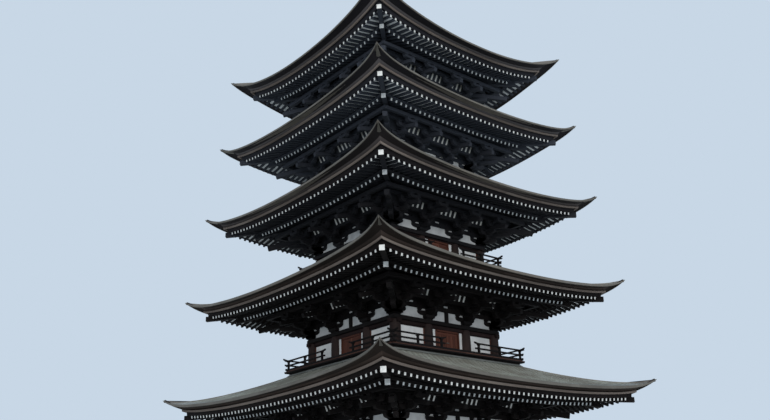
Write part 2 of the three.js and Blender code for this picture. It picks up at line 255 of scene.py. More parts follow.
def timber(name, colours, rough=0.8, relief=0.004, painted_haze=0.0, haze_from=HAZE_FROM,
           haze_colour="#3b404a"):
    """Stained softwood, sawn or planed: grain along the member and a tone of its own for each."""
    tree = new_finish(name)
    place = on_member(tree)
    drawn_out = add(tree, "Mapping", {0: place, "Scale": (1 / GRAIN_LONG, 1 / GRAIN_WIDE, 1)})
    grain = noise(tree, drawn_out.outputs[0], 1.0, 4.0, 0.6)
    # Members lie many metres apart on the map, so slow noise gives each one a tone of its own.
    tone = noise(tree, place, 0.31, 1.0)
    both = weighed(tree, tone, 0.9, weighed(tree, grain, 0.5, -0.2))
    colour = ramp(tree, (0.2, 0.55, 0.85), colours, both)
    if painted_haze:
        # Painted haze: higher up, the colour turns towards a bluish slate grey, which stands in for the
        # hazy light that lifts the shade under the upper eaves.
        height = add(tree, "SeparateXYZ", {0: on_building(tree)}).outputs["Z"]
        share = ranged(tree, height, 0.0, painted_haze, haze_from, HAZE_TO)
        colour = add(tree, "Mix", {0: share, 6: colour, 7: linear(haze_colour)}, data_type="RGBA").outputs[2]
    dress(tree, colour, ranged(tree, grain, rough - 0.12, rough + 0.12), grain, relief,
          {"Specular IOR Level": 0.15})


# %% The timbers of the building
DARK = "dark_stained_cypress"
EAVES_HAZE_FROM = 8.7

# Where a timber below is given a share, that share is painted haze: its colour turns bluish grey higher up.
timber(DARK, "#080707 #110e0f #1d1918", painted_haze=0.75)
timber("column_cypress", "#1c1514 #2b2120 #3d302d", 0.7, 0.003)
timber("beam_cypress", "#120b0b #1e1313 #2d1f1f", painted_haze=0.3)
timber("fascia_cypress", "#0b0707 #130d0d #1e1615", painted_haze=0.25)
timber("deck_cypress", "#33211c #472f28 #5e4238", 0.75)
timber("door_cypress", "#3c211a #502e24 #673f33", 0.62, 0.003)
timber("door_stile_cypress", "#4a2a21 #5f392d #784c3e", 0.62, 0.003)
# Painted shade: a dark cypress colour for the hollow eave board under the lip and the boards over the base
# rafters.
timber("eave_board_cypress", "#15100d #1f1814 #2b221d", painted_haze=0.85, haze_from=EAVES_HAZE_FROM,
       haze_colour="#1e1d21")
timber("cove_cypress", "#261e1a #382e29 #493d37", painted_haze=0.85, haze_from=EAVES_HAZE_FROM,
       haze_colour="#555254")
timber("limewashed_boards", "#ccd0d3 #dfe3e6 #eef0f2", 0.88, 0.003)
timber("grey_weathered_cypress", "#59504b #756b65 #90867f", 0.85)
print("timbers:", len(finishes))

# %% [markdown]
# ## Limewash and lime plaster
# The sawn ends of the rafters and arms are brushed with limewash, against the rain as much as for
# looks, and the panels between the columns are lime plaster laid on with a trowel. Both are chalk
# white and matt. The wash is thin, so the wood shows through where it has worn.

# %% Limewash on end grain and trowelled plaster
def chalk(name, colours, patch, relief):
    """A matt mineral white with soft patches, whose size is given in metres."""
    tree = new_finish(name)
    place = on_building(tree)
    stain = noise(tree, place, 1 / patch, 5.0, 0.65)
    trowel = noise(tree, place, 4 / patch)
    dress(tree, ramp(tree, (0.3, 0.5, 0.75), colours, stain), 0.9, trowel, relief,
          {"Specular IOR Level": 0.3})


chalk("white_limewash", "#bbbdbd #d0d2d1 #dfe0de", 0.12, 0.001)
chalk("worn_limewash", "#9a9fa2 #b9bec1 #cfd3d6", 0.12, 0.001)
chalk("faded_limewash", "#242526 #343536 #454748", 0.12, 0.001)
chalk("lime_plaster", "#bdbfc0 #d0d2d3 #dcdedf", 0.5, 0.002)
chalk("shaded_lime_plaster", "#a6a8aa #bcbec0 #cacccd", 0.5, 0.002)

# %% [markdown]
# ## Weathered copper sheet
# New copper is orange; after years of rain it is covered with a dull grey-green patina, browner
# where it stays dry. The lowest courses at each eave take a darker grey, which is painted shade.
# Under the patina it is still metal, so it keeps a metal's default IOR, but the patina itself is a
# mineral crust, and the surface is therefore only partly metallic and rather rough. Each sheet
# weathers on its own, which the "grain" map gives: every sheet has its own place on it. The finial
# is cast bronze, which is smoother and more metallic, under a dark green patina.

# %% Patinated copper and bronze
PATINA_PLACES = {3: (0.3, 0.5, 0.7), 4: (0.3, 0.45, 0.58, 0.7)}
BRONZE = "cast_bronze"


def patina(name, colours, metal, rough):
    """Metal under a mineral patina, in patches about a metre wide and with a tone for each sheet."""
    tree = new_finish(name)
    place = on_building(tree)
    sheet = noise(tree, on_member(tree), 0.37, 1.0)
    patch = noise(tree, place, 0.9, 6.0, 0.62)
    crust = noise(tree, place, 14.0, 4.0)
    mixed = weighed(tree, sheet, 0.3, weighed(tree, patch, 0.7))
    colour = ramp(tree, PATINA_PLACES[len(colours.split())], colours, mixed)
    dress(tree, colour, ranged(tree, patch, rough + 0.1, rough - 0.12), crust, 0.002, {"Metallic": metal})


patina("copper_sheet", "#665f58 #72726a #858880 #999e96", 0.4, 0.6)
# Painted shade: a darker copy of the sheet colour, for the lowest courses at each eave and the apron under
# each deck.
patina("washed_copper_sheet", "#5c605d #6b6f6d #7c807e #8f9391", 0.35, 0.6)
patina("copper_eave_band", "#4c4741 #5b564f #6b665f", 0.3, 0.65)
patina("copper_lip", "#4b4843 #5a5751 #6a6761", 0.4, 0.6)
patina(BRONZE, "#2f342f #4a524a #6a7469", 0.7, 0.45)
print("finishes so far:", sorted(finishes))

# %% [markdown]
# ## Granite
# The podium and its steps are granite, sawn into slabs and dressed with a bush hammer, which
# leaves a fine pitted face. The mix of pale felspar, grey quartz and dark mica gives a speckle.

# %% Bush-hammered granite
# Real grains are 3 to 6 mm, too fine to show here, so the speckle is drawn at 25 mm.
SPECKLE = 0.025


def granite(name, colours):
    """Dressed granite: a speckle of pale and dark grains with rain-darkened patches."""
    tree = new_finish(name)
    place = on_building(tree)
    grains = add(tree, "TexVoronoi", {"Vector": place, "Scale": 1 / SPECKLE})
    stone = noise(tree, on_member(tree), 0.33, 1.0)
    rain = noise(tree, place, 1.6, 6.0)
    speckle = weighed(tree, grains.outputs["Color"], 0.35, weighed(tree, rain, 0.45))
    colour = ramp(tree, (0.25, 0.5, 0.8), colours, weighed(tree, stone, 0.3, speckle))
    dress(tree, colour, 0.85, grains.outputs["Distance"], 0.004)


granite("bush_hammered_granite", "#6f6d69 #918f8a #b5b3ad")
print("finishes:", len(finishes))

# %% [markdown]
# ## Small solids, piled into one mesh
# A roof has hundreds of rafters and over a thousand copper sheets. Each could be an object of its
# own, but Blender slows down with thousands of objects, and they would never be moved alone. So
# each kind of solid is drawn once, as a shape in its own little frame: x along the member, y across
# it and z up. A pile then sets that shape down many times with numpy and becomes one mesh.

# %% A shape in its own frame
class Shape:
    """Points (x, y, z, stretch) with faces; where stretch is 1 the point follows the far end."""

    def __init__(self, points, faces, names, smooth=False):
        self.points = np.array(points, float)
        self.faces = [list(face) for face in faces]
        self.names = list(names)
        self.smooth = smooth


def loft(rings, side, ends=None, painted=(), paint=None, smooth=False):
    """Joins rings of points with side faces and closes both ends; a ring turns to its left."""
    rings = np.array(rings, float)
    count, size = rings.shape[:2]
    faces = []
    names = []
    for start in range(0, (count - 1) * size, size):
        for k in range(size):
            after = (k + 1) % size
            faces.append([start + k, start + after, start + size + after, start + size + k])
            names.append(paint if k in painted else side)
    faces.append(list(range(size))[::-1])
    faces.append([(count - 1) * size + k for k in range(size)])
    names += [ends or side] * 2
    return Shape(rings.reshape(-1, rings.shape[2]), faces, names, smooth)


def bar(half_width, low, high, arris, side=DARK, ends=None):
    """A sawn bar with its long edges eased, stretched between two ends."""
    w = half_width
    a = arris
    outline = [(-w + a, low), (w - a, low), (w, low + a), (w, high - a), (w - a, high), (-w + a, high),
               (-w, high - a), (-w, low + a)]
    return loft([[(0, y, z, far) for y, z in outline] for far in (0, 1)], side, ends)


def cut_from_board(outline, half_width, side, paint, painted):
    """An outline of (x, z) points, given to its left, sawn out of a board of the given width."""
    outline = list(outline)[::-1]
    size = len(outline)
    # Reversing the outline turns edge k into edge size - 2 - k.
    edges = {(size - 2 - k) % size for k in painted}
    rings = [[(x, y, z, 0) for x, z in outline] for y in (-half_width, half_width)]
    return loft(rings, side, painted=edges, paint=paint)


SQUARE = [(-1, -1), (1, -1), (1, 1), (-1, 1)]


def bearing_block(half, high):
    """A small square block, upright above and hollowed in below, that sits on an arm."""
    levels = [(0.0, 0.66), (0.12, 0.69), (0.28, 0.8), (0.42, 1.0), (1.0, 1.0)]
    rings = [[(half * wide * x, half * wide * y, high * z, 0) for x, y in SQUARE] for z, wide in levels]
    return loft(rings, DARK)


print("faces of one bar:", len(bar(0.0375, -0.05, 0.05, 0.006).faces))

# %% Pile shapes into one mesh
ALONG = (1, 0, 0)
OUTWARD = (0, -1, 0)
UPWARD = (0, 0, 1)
SHARP_FROM = math.radians(38)
dice = np.random.default_rng(7)


def turned_by(angle):
    """A matrix that turns rows of points round the axis of the building."""
    return np.array([[math.cos(angle), math.sin(angle), 0], [-math.sin(angle), math.cos(angle), 0],
                     [0, 0, 1.0]])


TURNS = [turned_by(angle) for angle in (0, math.pi / 2, math.pi, 1.5 * math.pi)]


def unit(vectors):
    return vectors / np.linalg.norm(vectors, axis=-1, keepdims=True)


def spots(x, out, z):
    """Points of the side that faces -Y, at places x along it, a distance from the axis and a height."""
    return np.stack(np.broadcast_arrays(np.atleast_1d(x), -out, z), axis=-1)


class Pile:
    """Gathers many small solids and makes one mesh object of them."""

    def __init__(self):
        self.points = []
        self.corners = []
        self.sizes = []
        self.names = []
        self.grain = []
        self.smooth = []
        self.count = 0

    def add(self, points, grain, shape):
        """Adds m copies of a shape: points (m, k, 3) and grain (m, k, 2) in metres."""
        m, k = points.shape[:2]
        flat = np.concatenate([np.array(face) for face in shape.faces])
        shift = np.arange(m)[:, None] * k + self.count
        self.points.append(points.reshape(-1, 3))
        self.corners.append((flat[None, :] + shift).ravel())
        self.sizes.append(np.tile([len(face) for face in shape.faces], m))
        self.names += shape.names * m
        own = dice.uniform(0, 90, (m, 1, 2))
        self.grain.append((grain + own)[:, flat].reshape(-1, 2))
        self.smooth.append(np.full(m * len(shape.faces), shape.smooth))
        self.count += m * k

    def set_down(self, rings, grain, shape, turns=TURNS):
        """Adds a shape lofted from rings that are in their places on one side, once for each turn."""
        for turn in turns:
            self.add((rings @ turn).reshape(1, -1, 3), grain.reshape(1, -1, 2), shape)

    def on_axis(self, shape):
        """Adds a shape that is in its place round the axis of the building."""
        points = shape.points[None, :, :3]
        around = np.arctan2(points[..., 1], points[..., 0])
        self.add(points, np.stack([around, points[..., 2]], axis=-1), shape)

    def place(self, shape, at, along, up=UPWARD, length=0.0, turned=True):
        """Sets a shape down with x along one direction, and on all four sides if turned."""
        at = np.atleast_2d(np.array(at, float))
        m = len(at)
        along = unit(np.broadcast_to(np.array(along, float), (m, 3)))
        across = unit(np.cross(np.broadcast_to(np.array(up, float), (m, 3)), along))
        up = np.cross(along, across)
        length = np.broadcast_to(np.array(length, float), (m,))
        x = shape.points[:, 0] + np.outer(length, shape.points[:, 3])
        y = np.broadcast_to(shape.points[:, 1], x.shape)
        z = np.broadcast_to(shape.points[:, 2], x.shape)
        world = (at[:, None] + x[..., None] * along[:, None] + y[..., None] * across[:, None]
                 + z[..., None] * up[:, None])
        grain = np.stack([x, y + z], axis=-1)
        for turn in TURNS if turned else TURNS[:1]:
            self.add(world @ turn, grain, shape)

    def stand(self, shape, feet, length=0.0):
        """Sets a shape upright, with its z facing outward."""
        self.place(shape, feet, UPWARD, OUTWARD, length)

    def lay(self, shape, at, length):
        """Lays a bar along the side, with its z facing outward."""
        self.place(shape, at, ALONG, OUTWARD, length)

    def span(self, shape, start, end, turned=True):
        """Stretches a bar between two points, or between many pairs of points."""
        start = np.atleast_2d(np.array(start, float))
        end = np.atleast_2d(np.array(end, float))
        self.place(shape, start, end - start, length=np.linalg.norm(end - start, axis=1), turned=turned)

    def make(self, name, slot, *nodes):
        """Makes the mesh object, hides the CAD nodes it stands for and lets it ride on the building."""
        used = sorted(set(self.names))
        number = {finish: n for n, finish in enumerate(used)}
        points = np.concatenate(self.points)
        corners = np.concatenate(self.corners).astype(np.int32)
        sizes = np.concatenate(self.sizes)
        starts = np.concatenate([[0], np.cumsum(sizes)[:-1]]).astype(np.int32)
        mesh = bpy.data.meshes.new(name)
        for part, count, key, values in ((mesh.vertices, len(points), "co", points.ravel()),
                                         (mesh.loops, len(corners), "vertex_index", corners),
                                         (mesh.polygons, len(sizes), "loop_start", starts)):
            part.add(count)
            part.foreach_set(key, values)
        mesh.polygons.foreach_set("material_index", np.array([number[n] for n in self.names], np.int32))
        mesh.polygons.foreach_set("use_smooth", np.concatenate(self.smooth))
        mesh.uv_layers.new(name="grain").data.foreach_set("uv", np.concatenate(self.grain).ravel())
        for finish in used:
            mesh.materials.append(finishes[finish])
        mesh.update(calc_edges=True)
        mesh.set_sharp_from_angle(angle=SHARP_FROM)
        piece = bpy.data.objects.new(name, mesh)
        bpy.context.scene.collection.objects.link(piece)
        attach(piece, "root")
        if nodes:
            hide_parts(*nodes)
        print(f"{name}: {len(points)} points, {int((sizes - 2).sum())} triangles")


# %% [markdown]
# ## Boards that follow the curve of the eaves
# The eaves of such a roof are straight in the middle and sweep up and out towards the corners. A
# board along them is a run of short lengths, each bent to the curve. It could be drawn with a curve
# object and a bevel, but its section changes along the way, because the eave face gets deeper
# towards the corner. So a run is lofted: section(u) gives the outline at each station u, from -1 at
# one corner through 0 at mid-side to 1 at the next, as (distance from the axis, height) points.

# %% Loft a run of boards along one side, then turn it to all four
CORNER_STATIONS = np.array([0.86, 0.9, 0.93, 0.955, 0.97, 0.98, 0.99, 0.995])
CORNER_STATIONS = np.concatenate([CORNER_STATIONS, -CORNER_STATIONS])
NEAR_CORNER = 0.6


def stations(low, high, step, reach):
    """Stations between two places on a side, closer together near the corners."""
    count = max(2, int(math.ceil((high - low) * reach / step)) + 1)
    t = np.linspace(low, high, count)
    if high > NEAR_CORNER or low < -NEAR_CORNER:
        t = np.union1d(t, CORNER_STATIONS[(CORNER_STATIONS > low) & (CORNER_STATIONS < high)])
    return t


def stacked(points, u):
    """Turns (distance, height) points, each a number or one value a station, into outlines."""
    columns = [np.concatenate(np.broadcast_arrays(u * 0 + d, u * 0 + z), axis=1) for d, z in points]
    return np.stack(columns, axis=1)


def outline_of(*points):
    """A section that stays the same all along the side."""
    return lambda u: stacked(points, u)


def boxed(out, inside, low, high):
    """The section of a plain board between two distances and two heights."""
    return outline_of((out, high), (inside, high), (inside, low), (out, low))


def run_of_boards(pile, section, reach, length, finish, gap=0.003, step=0.3, slip=0.0, smooth=True):
    """Closed boards end to end along each side; slip is how far a joint may be out of line."""
    count = max(1, round(2 * reach / length))
    for turn in TURNS:
        cuts = np.linspace(-1, 1, count + 1)
        cuts[1:-1] += dice.uniform(-0.12, 0.12, count - 1) * 2 / count
        for low, high in zip(cuts[:-1], cuts[1:]):
            a = low + (gap / reach if low > -1 else 0)
            b = high - (gap / reach if high < 1 else 0)
            u = stations(a, b, step, reach)
            outline = section(np.abs(u)[:, None])
            d = outline[..., 0] + dice.uniform(-slip, slip)
            z = outline[..., 1] + dice.uniform(-slip, slip)
            rings = np.stack([u[:, None] * d, -d, z], axis=-1)
            around = np.cumsum(np.linalg.norm(np.diff(outline[0], axis=0, prepend=outline[0][:1]), axis=-1))
            grain = np.stack([rings[..., 0], np.broadcast_to(around, d.shape)], axis=-1)
            pile.set_down(rings, grain, loft(rings, finish, smooth=smooth), [turn])


def straight_boards(pile, section, reach, length, finish, step=3.0, slip=0.0):
    """The same along a straight edge, where every face is flat."""
    run_of_boards(pile, section, reach, length, finish, step=step, slip=slip, smooth=False)


# %% [markdown]
# ## The copper roofs
# Boards curve from the eave up to the storey above, and thin copper sheets, about 210 by 170 mm,
# are folded into one another over them, each course lapping the one below and its joints standing
# over the middle of the sheets beneath. A bump could draw the seams, but the roofs are seen almost
# edge on, where only real relief catches the light. So a smooth shell gives the roof its body and
# every sheet is a thin solid of its own, with its lower edge proud and a folded seam at one side.

# %% The curved surface of one roof
EAVE_TOP = [0.318, 0.279, 0.242, 0.245, 0.228]
EAVE_OVER = [0.460, 0.470, 0.480, 0.490, 0.510]
TIP_OVER = [0.645, 0.645, 0.645, 0.645, 0.725]
TIP_SPIKE = 0.180
EAVE_UNDER = 0.05
BED_THICK = 0.12
SHELL_THICK = 0.15
LIP_THICK = [0.065, 0.065, 0.045, 0.030, 0.030]
LIP_LATE = 12
MOULDING_HIGH = 0.068
MOULDING_AT = 0.86
MOULDING_RAISE = [-0.060, -0.060, -0.045, -0.040, -0.040]
FASCIA_LOW = 0.036
BAND_END = 0.04
COVE_MIDDLE = 0.68
# How hollow the slope of a roof is; the top roof is steeper at its head.
HOLLOW = 1.2
TOP_HOLLOW = 1.35
# The plan flares, the eave sweeps up and the tip rises to a spike: how late each starts towards the
# corner, and how fast it dies away up the slope.
FLARE_LATE = 8
FLARE_FADE = 3
SWEEP_LATE = 2.15
SWEEP_FADE = 1.5
SPIKE_LATE = 16
SPIKE_FADE = 8


class Roof:
    """The copper surface of one roof, as a formula in share (0 at the eave, 1 at the top) and u."""

    def __init__(self, s, above):
        self.s = s
        self.outer = s.row_half + EAVE_OVER[s.i]
        self.lip = s.row + EAVE_TOP[s.i]
        self.sweep = TIP_RISE[s.i] - EAVE_TOP[s.i] - TIP_SPIKE
        self.flare = TIP_OVER[s.i] - EAVE_OVER[s.i]
        self.inner = above.deck_half - DECK_UNDER if above else APEX_HALF
        self.top = above.floor - DECK_UNDER - HAIR if above else APEX_Z
        self.hollow = HOLLOW if above else TOP_HOLLOW

    def at(self, share, u):
        """Distance from the axis and height of the surface."""
        down = 1 - share
        u = np.abs(u)
        flare = self.flare * u ** FLARE_LATE * down ** FLARE_FADE
        sweep = self.sweep * u ** SWEEP_LATE * down ** SWEEP_FADE
        rise = sweep + TIP_SPIKE * u ** SPIKE_LATE * down ** SPIKE_FADE
        d = self.outer + (self.inner - self.outer) * share + flare
        return d, self.lip + (self.top - self.lip) * share ** self.hollow + rise

    def under(self, u):
        """Height of the lower edge of the eave face."""
        return self.s.row + RAFTER_HALF + BED_THICK + self.s.lift * np.abs(u) ** LIFT_LATE

    def face(self, part, u, sink=0.0):
        """A point on the eave face, part 0 under the copper lip and 1 on top of the moulding."""
        lip_d, lip_z = self.at(0.0, u)
        lip_z = lip_z - LIP_THICK[self.s.i] * (1 - np.abs(u) ** LIP_LATE)
        foot_d = self.s.row_half + EAVE_UNDER
        foot_z = self.under(u) + MOULDING_HIGH
        d = lip_d + (foot_d - lip_d) * part
        z = lip_z + (foot_z - lip_z) * part
        fall = np.sqrt((lip_d - foot_d) ** 2 + (lip_z - foot_z) ** 2)
        # Sinking moves the point square to the face, back into the eave.
        return d - sink * (lip_z - foot_z) / fall, z + sink * (lip_d - foot_d) / fall

    def on_face(self, *places):
        """A section with its points on the eave face, each given as a part and how far it is sunk."""
        return lambda u: stacked([self.face(part, u, sink) for part, sink in places], u)

    def on_surface(self, x, share):
        """Points of the side facing -Y at a given x, no farther out than the hip."""
        hip = self.at(share, 1.0)[0]
        x = np.clip(x, -hip, hip)
        d = self.at(share, 0.0)[0]
        # The distance depends on u and u on the distance, so they are brought together step by step.
        for _ in range(12):
            d = self.at(share, np.clip(x / d, -1, 1))[0]
        return spots(x, d, self.at(share, np.clip(x / d, -1, 1))[1])


roofs = [Roof(s, storeys[s.i + 1] if s.i < 4 else None) for s in storeys]
for roof in roofs:
    tip_d, tip_z = roof.at(0.0, 1.0)
    print(roof.s.name, "eave tip at", round(float(tip_d), 3), "height", round(float(tip_z), 3))

# %% The body of the roof, with the copper band of its eave
def roof_shell(roof):
    pile = Pile()

    def section(u):
        points = [roof.at(share, u) for share in np.linspace(0, 1, 13)]
        for share, thick in ((1.0, SHELL_THICK), (0.6, SHELL_THICK), (0.3, 0.7 * SHELL_THICK)):
            d, z = roof.at(share, u)
            points.append((d, z - thick))
        points += [roof.face(BAND_END, u, 0.02), roof.face(BAND_END, u), roof.face(0.0, u, 0.003)]
        return stacked(points, u)

    run_of_boards(pile, section, roof.outer, 2 * roof.outer, "copper_eave_band")
    pile.make(f"{roof.s.name}_roof_shell", "copper", f"{roof.s.name}_roof")


for roof in roofs:
    roof_shell(roof)

# %% The copper sheets
SHEET_WIDE = 0.21
SHEET_HIGH = 0.17
SHEET_LAP = 0.012
SHEET_SEAM = 0.007
SHEET_SLIVER = 0.04
SHADED_COURSES = 3
# Across one sheet: the folded seam at its left, then the flat of the sheet.
SEAM_STATIONS = np.array([0.0, 0.14, 0.2, 0.6, 1.0])
SEAM_HEIGHT = np.array([1.0, 1.0, 0.0, 0.0, 0.0])


def sheet_shape(finish):
    """The faces of one sheet: rows of points along its lower edge, the lap and its upper edge."""
    n = len(SEAM_STATIONS)
    faces = []
    for k in range(n - 1):
        faces.append([k, k + 1, n + k + 1, n + k])
        faces.append([n + k, n + k + 1, 2 * n + k + 1, 2 * n + k])
    faces.append([0, n, 2 * n])
    faces.append([n - 1, 3 * n - 1, 2 * n - 1])
    return Shape(np.zeros((3 * n, 4)), faces, [finish] * len(faces))


def roof_sheets(roof):
    """All the sheets of one roof, course by course."""
    edge = np.linspace(0.012, 1, 200)
    d, z = roof.at(edge, 0.0)
    way = np.concatenate([[0], np.cumsum(np.hypot(np.diff(d), np.diff(z)))])
    courses = round(way[-1] / SHEET_HIGH)
    shares = np.interp(np.linspace(0, way[-1], courses + 1), way, edge)
    sheets = []
    for course, (low, high) in enumerate(zip(shares[:-1], shares[1:])):
        hip = roof.at(low, 1.0)[0]
        count = int(hip / SHEET_WIDE) + 2
        for j in range(-count, count):
            x = (j + 0.5 * (course % 2) + SEAM_STATIONS) * SHEET_WIDE
            if x[0] < hip - SHEET_SLIVER and x[-1] > -hip + SHEET_SLIVER:
                sheets.append((x, low, high, course < SHADED_COURSES))
    # Painted shade: the lowest courses, near the eave, take a darker copy of the sheet colour than the
    # rest.
    x, low, high, shade_painted = [np.array(column) for column in zip(*sheets)]
    lower = roof.on_surface(x, low[:, None])
    upper = roof.on_surface(x, high[:, None])
    seam = SHEET_SEAM * SEAM_HEIGHT[None, :, None]
    proud = dice.uniform(0.8, 1.3, (len(sheets), 1, 1)) * SHEET_LAP
    raised = np.array(UPWARD)
    rows = [lower - 0.004 * raised, lower + (proud + seam) * raised, upper + (0.003 + seam) * raised]
    points = np.concatenate(rows, axis=1)
    across = x - x[:, :1]
    grain = np.concatenate([np.stack([across, np.full_like(across, v)], axis=-1) for v in (0, 0.01, 0.18)],
                           axis=1)
    pile = Pile()
    for some, finish in ((~shade_painted, "copper_sheet"), (shade_painted, "washed_copper_sheet")):
        shape = sheet_shape(finish)
        for turn in TURNS:
            pile.add(points[some] @ turn, grain[some], shape)
    pile.make(f"{roof.s.name}_copper_sheets", "copper")


for roof in roofs:
    roof_sheets(roof)

# %% [markdown]
# ## Hips and the eave edge
# Where two slopes meet, a narrow copper cover is folded over the joint; it runs from the tip up to
# the storey above. Below the copper, the deep eave face is built up of boards: a hollow one under the
# lip, coloured darker than the rest as painted shade, a browner one that curves out under it, a thin
# strip that rain has turned grey, then the board on the rafter ends.

# %% Hip covers and the lip of the eaves
HIP_HALF = 0.055
HIP_HIGH = 0.022
LIP_PROUD = [0.014, 0.014, 0.018, 0.026, 0.026]
ACROSS_CORNER = np.array([1, 1, 0]) / math.sqrt(2)


def roof_edges(roof):
    pile = Pile()
    shares = np.concatenate([np.linspace(0.008, 0.2, 10), np.linspace(0.25, 1, 16)])
    d, z = roof.at(shares, 1.0)
    ridge = spots(d, d, z)
    narrow = np.interp(shares, [0, 0.10, 1], [0.05, 1, 1])[:, None]
    shoulder = HIP_HIGH - 0.008
    profile = [(-1.15, -0.05), (1.15, -0.05), (1.0, shoulder), (0.8, HIP_HIGH), (-0.8, HIP_HIGH),
               (-1.0, shoulder)]
    rings = np.stack([ridge + ACROSS_CORNER * (side * HIP_HALF * narrow) + np.array([0, 0, 1.0]) * high
                      for side, high in profile], axis=1)
    # The ring is turned round so that the cover runs up from the tip with its faces outwards.
    rings = rings[:, ::-1]
    pile.set_down(rings, np.zeros_like(rings[..., :2]), loft(rings, "copper_lip", smooth=True))

    def lip(u):
        """A rolled lip that hangs over the top of the copper band."""
        edge_d, edge_z = roof.at(0.0, u)
        top_d, top_z = roof.at(0.03, u)
        proud = LIP_PROUD[roof.s.i]
        return stacked([(edge_d, edge_z + proud), (top_d, top_z + proud + 0.004), roof.face(0.02, u, 0.006),
                        roof.face(0.02, u, -0.001), roof.face(0.0, u)], u)

    # A bead is folded along the inner edge of the copper band.
    near = BAND_END - 0.025
    far = BAND_END + 0.01
    bead = roof.on_face((near, 0.004), (far, 0.004), (far, -0.006), (near, -0.006))
    for section, finish in ((lip, "copper_lip"), (bead, "copper_eave_band")):
        run_of_boards(pile, section, roof.outer, 1.8, finish, gap=0.002, smooth=False)
    pile.make(f"{roof.s.name}_copper_edges", "copper")


for roof in roofs:
    roof_edges(roof)

# %% The boards of the eave face
def eave_boards(roof):
    s = roof.s
    pile = Pile()
    hollow_board = roof.on_face((BAND_END, 0.012), (BAND_END, 0.055), (COVE_MIDDLE, 0.06),
                                (COVE_MIDDLE, 0.038), (0.38, 0.042))
    cove_board = roof.on_face((COVE_MIDDLE, 0.038), (COVE_MIDDLE, 0.06), (1.0, 0.07), (1.0, 0.004),
                              (MOULDING_AT, 0.004), (0.76, 0.020))

    def moulding(u):
        d, z = roof.face(MOULDING_AT, u)
        z = z + MOULDING_RAISE[s.i]
        return stacked([(d - 0.024, z - 0.040), (d + 0.016, z - 0.036), (d + 0.024, z + 0.026),
                        (d - 0.024, z + 0.034)], u)

    def on_ends(u):
        top = roof.under(u) + MOULDING_HIGH - 0.006
        foot = s.row + FASCIA_LOW + s.lift * u ** LIFT_LATE
        return stacked([(s.row_half + 0.040, top), (s.row_half - 0.09, top), (s.row_half - 0.09, foot),
                        (s.row_half + 0.02, foot)], u)

    # The hollow board is coloured darker than the cove board, as painted shade under the lip.
    run_of_boards(pile, hollow_board, s.row_half, 3.0, "eave_board_cypress", slip=0.001)
    run_of_boards(pile, cove_board, s.row_half, 2.7, "cove_cypress", slip=0.001)
    run_of_boards(pile, moulding, s.row_half, 1.7, "grey_weathered_cypress", slip=0.002, smooth=False)
    run_of_boards(pile, on_ends, s.row_half, 2.6, "fascia_cypress", slip=0.001)
    pile.make(f"{s.name}_eave_boards", "timber")


for roof in roofs:
    eave_boards(roof)

# %% [markdown]
# ## Two rows of rafters
# Base rafters lie on the purlin and slope steeply; flying rafters stand on their ends and reach
# farther out at a flatter slope, which carries the eaves up towards the light. All of them lie
# square to the eave, 207 mm apart, and near a corner they die into the hip rafter. They are made as
# single bars with eased edges and limewashed ends, because each end shows as a white point.

# %% The rafters of one storey
RAFTER_HALF_WIDE = 0.033
RAFTER_HALF_HIGH = 0.044
FLYING_BACK = 0.28
HIP_NOSE = 0.07


def rafter_rows(s, pile):
    count = RAFTER_COUNT[s.i]
    skip = BASE_ROW_SKIP[s.i]
    places = (np.arange(count) - (count - 1) / 2) * RAFTER_PITCH[s.i]

    def row(x, out, slope, z, inside, ends):
        deep = np.maximum(inside, np.abs(x) + 0.09)
        z_far = z + s.soffit_lift(out, x / out)
        z_deep = z + slope * (out - deep) + s.soffit_lift(deep, np.clip(np.abs(x) / deep, 0, 1))
        shape = bar(RAFTER_HALF_WIDE, -RAFTER_HALF_HIGH, RAFTER_HALF_HIGH, 0.006, DARK, ends)
        pile.span(shape, spots(x, deep, z_deep), spots(x, out, z_far))

    row(places, s.row_half, FLYING_SLOPE, s.row, s.base_half - FLYING_BACK, "white_limewash")
    row(places[skip:-skip], s.base_half, BASE_SLOPE, s.row - BASE_ROW_DROP, s.half - 0.05, "worn_limewash")
    print(s.name, "has", count, "flying and", count - 2 * skip, "base rafters a side")


def grain_along(way, around):
    """The grain of a bent bar with four sides: the way along it and the way around it."""
    way = np.repeat(way[:, None], 4, axis=1)
    return np.stack([way, np.broadcast_to(around, way.shape)], axis=-1)


def hip_rafters(s, pile):
    """The two hip rafters at each corner, bent to the same curves on the diagonal."""
    def hip(out, inside, slope, z, half_width, half_high, ends):
        c = np.linspace(inside, out, 6)
        middle = spots(c, c, z + slope * (out - HIP_NOSE - c) + s.soffit_lift(c, 1.0))
        across = ACROSS_CORNER * half_width
        up = np.array([0, 0, half_high])
        rings = np.stack([middle - across - up, middle + across - up, middle + across + up,
                          middle - across + up], axis=1)
        pile.set_down(rings, grain_along(c * math.sqrt(2), [0, 0.15, 0.35, 0.5]), loft(rings, DARK, ends))

    hip(s.row_half + HIP_NOSE, s.base_half - 0.3, FLYING_SLOPE, s.row - 0.04, 0.077, 0.080,
        "white_limewash")
    hip(s.base_half + HIP_NOSE, s.half - 0.1, BASE_SLOPE, s.row - BASE_ROW_DROP - 0.034, 0.073, 0.082,
        "worn_limewash")


for s in storeys:
    rows = Pile()
    rafter_rows(s, rows)
    hip_rafters(s, rows)
    rows.make(f"{s.name}_rafter_rows", "timber", f"{s.name}_rafters")

# %% [markdown]
# ## The boards over the rafters
# From below, boards close the space between the rafters: limewashed over the flying rafters and
# dark over the base rafters, a dark that is painted shade. They run along the eave, and a heavier
# board on the ends of the base rafters carries the flying ones.

# %% Board the undersides of the eaves
BOARD_WIDE = 0.26
BOARD_THICK = 0.03
BOARD_GAP = 0.004


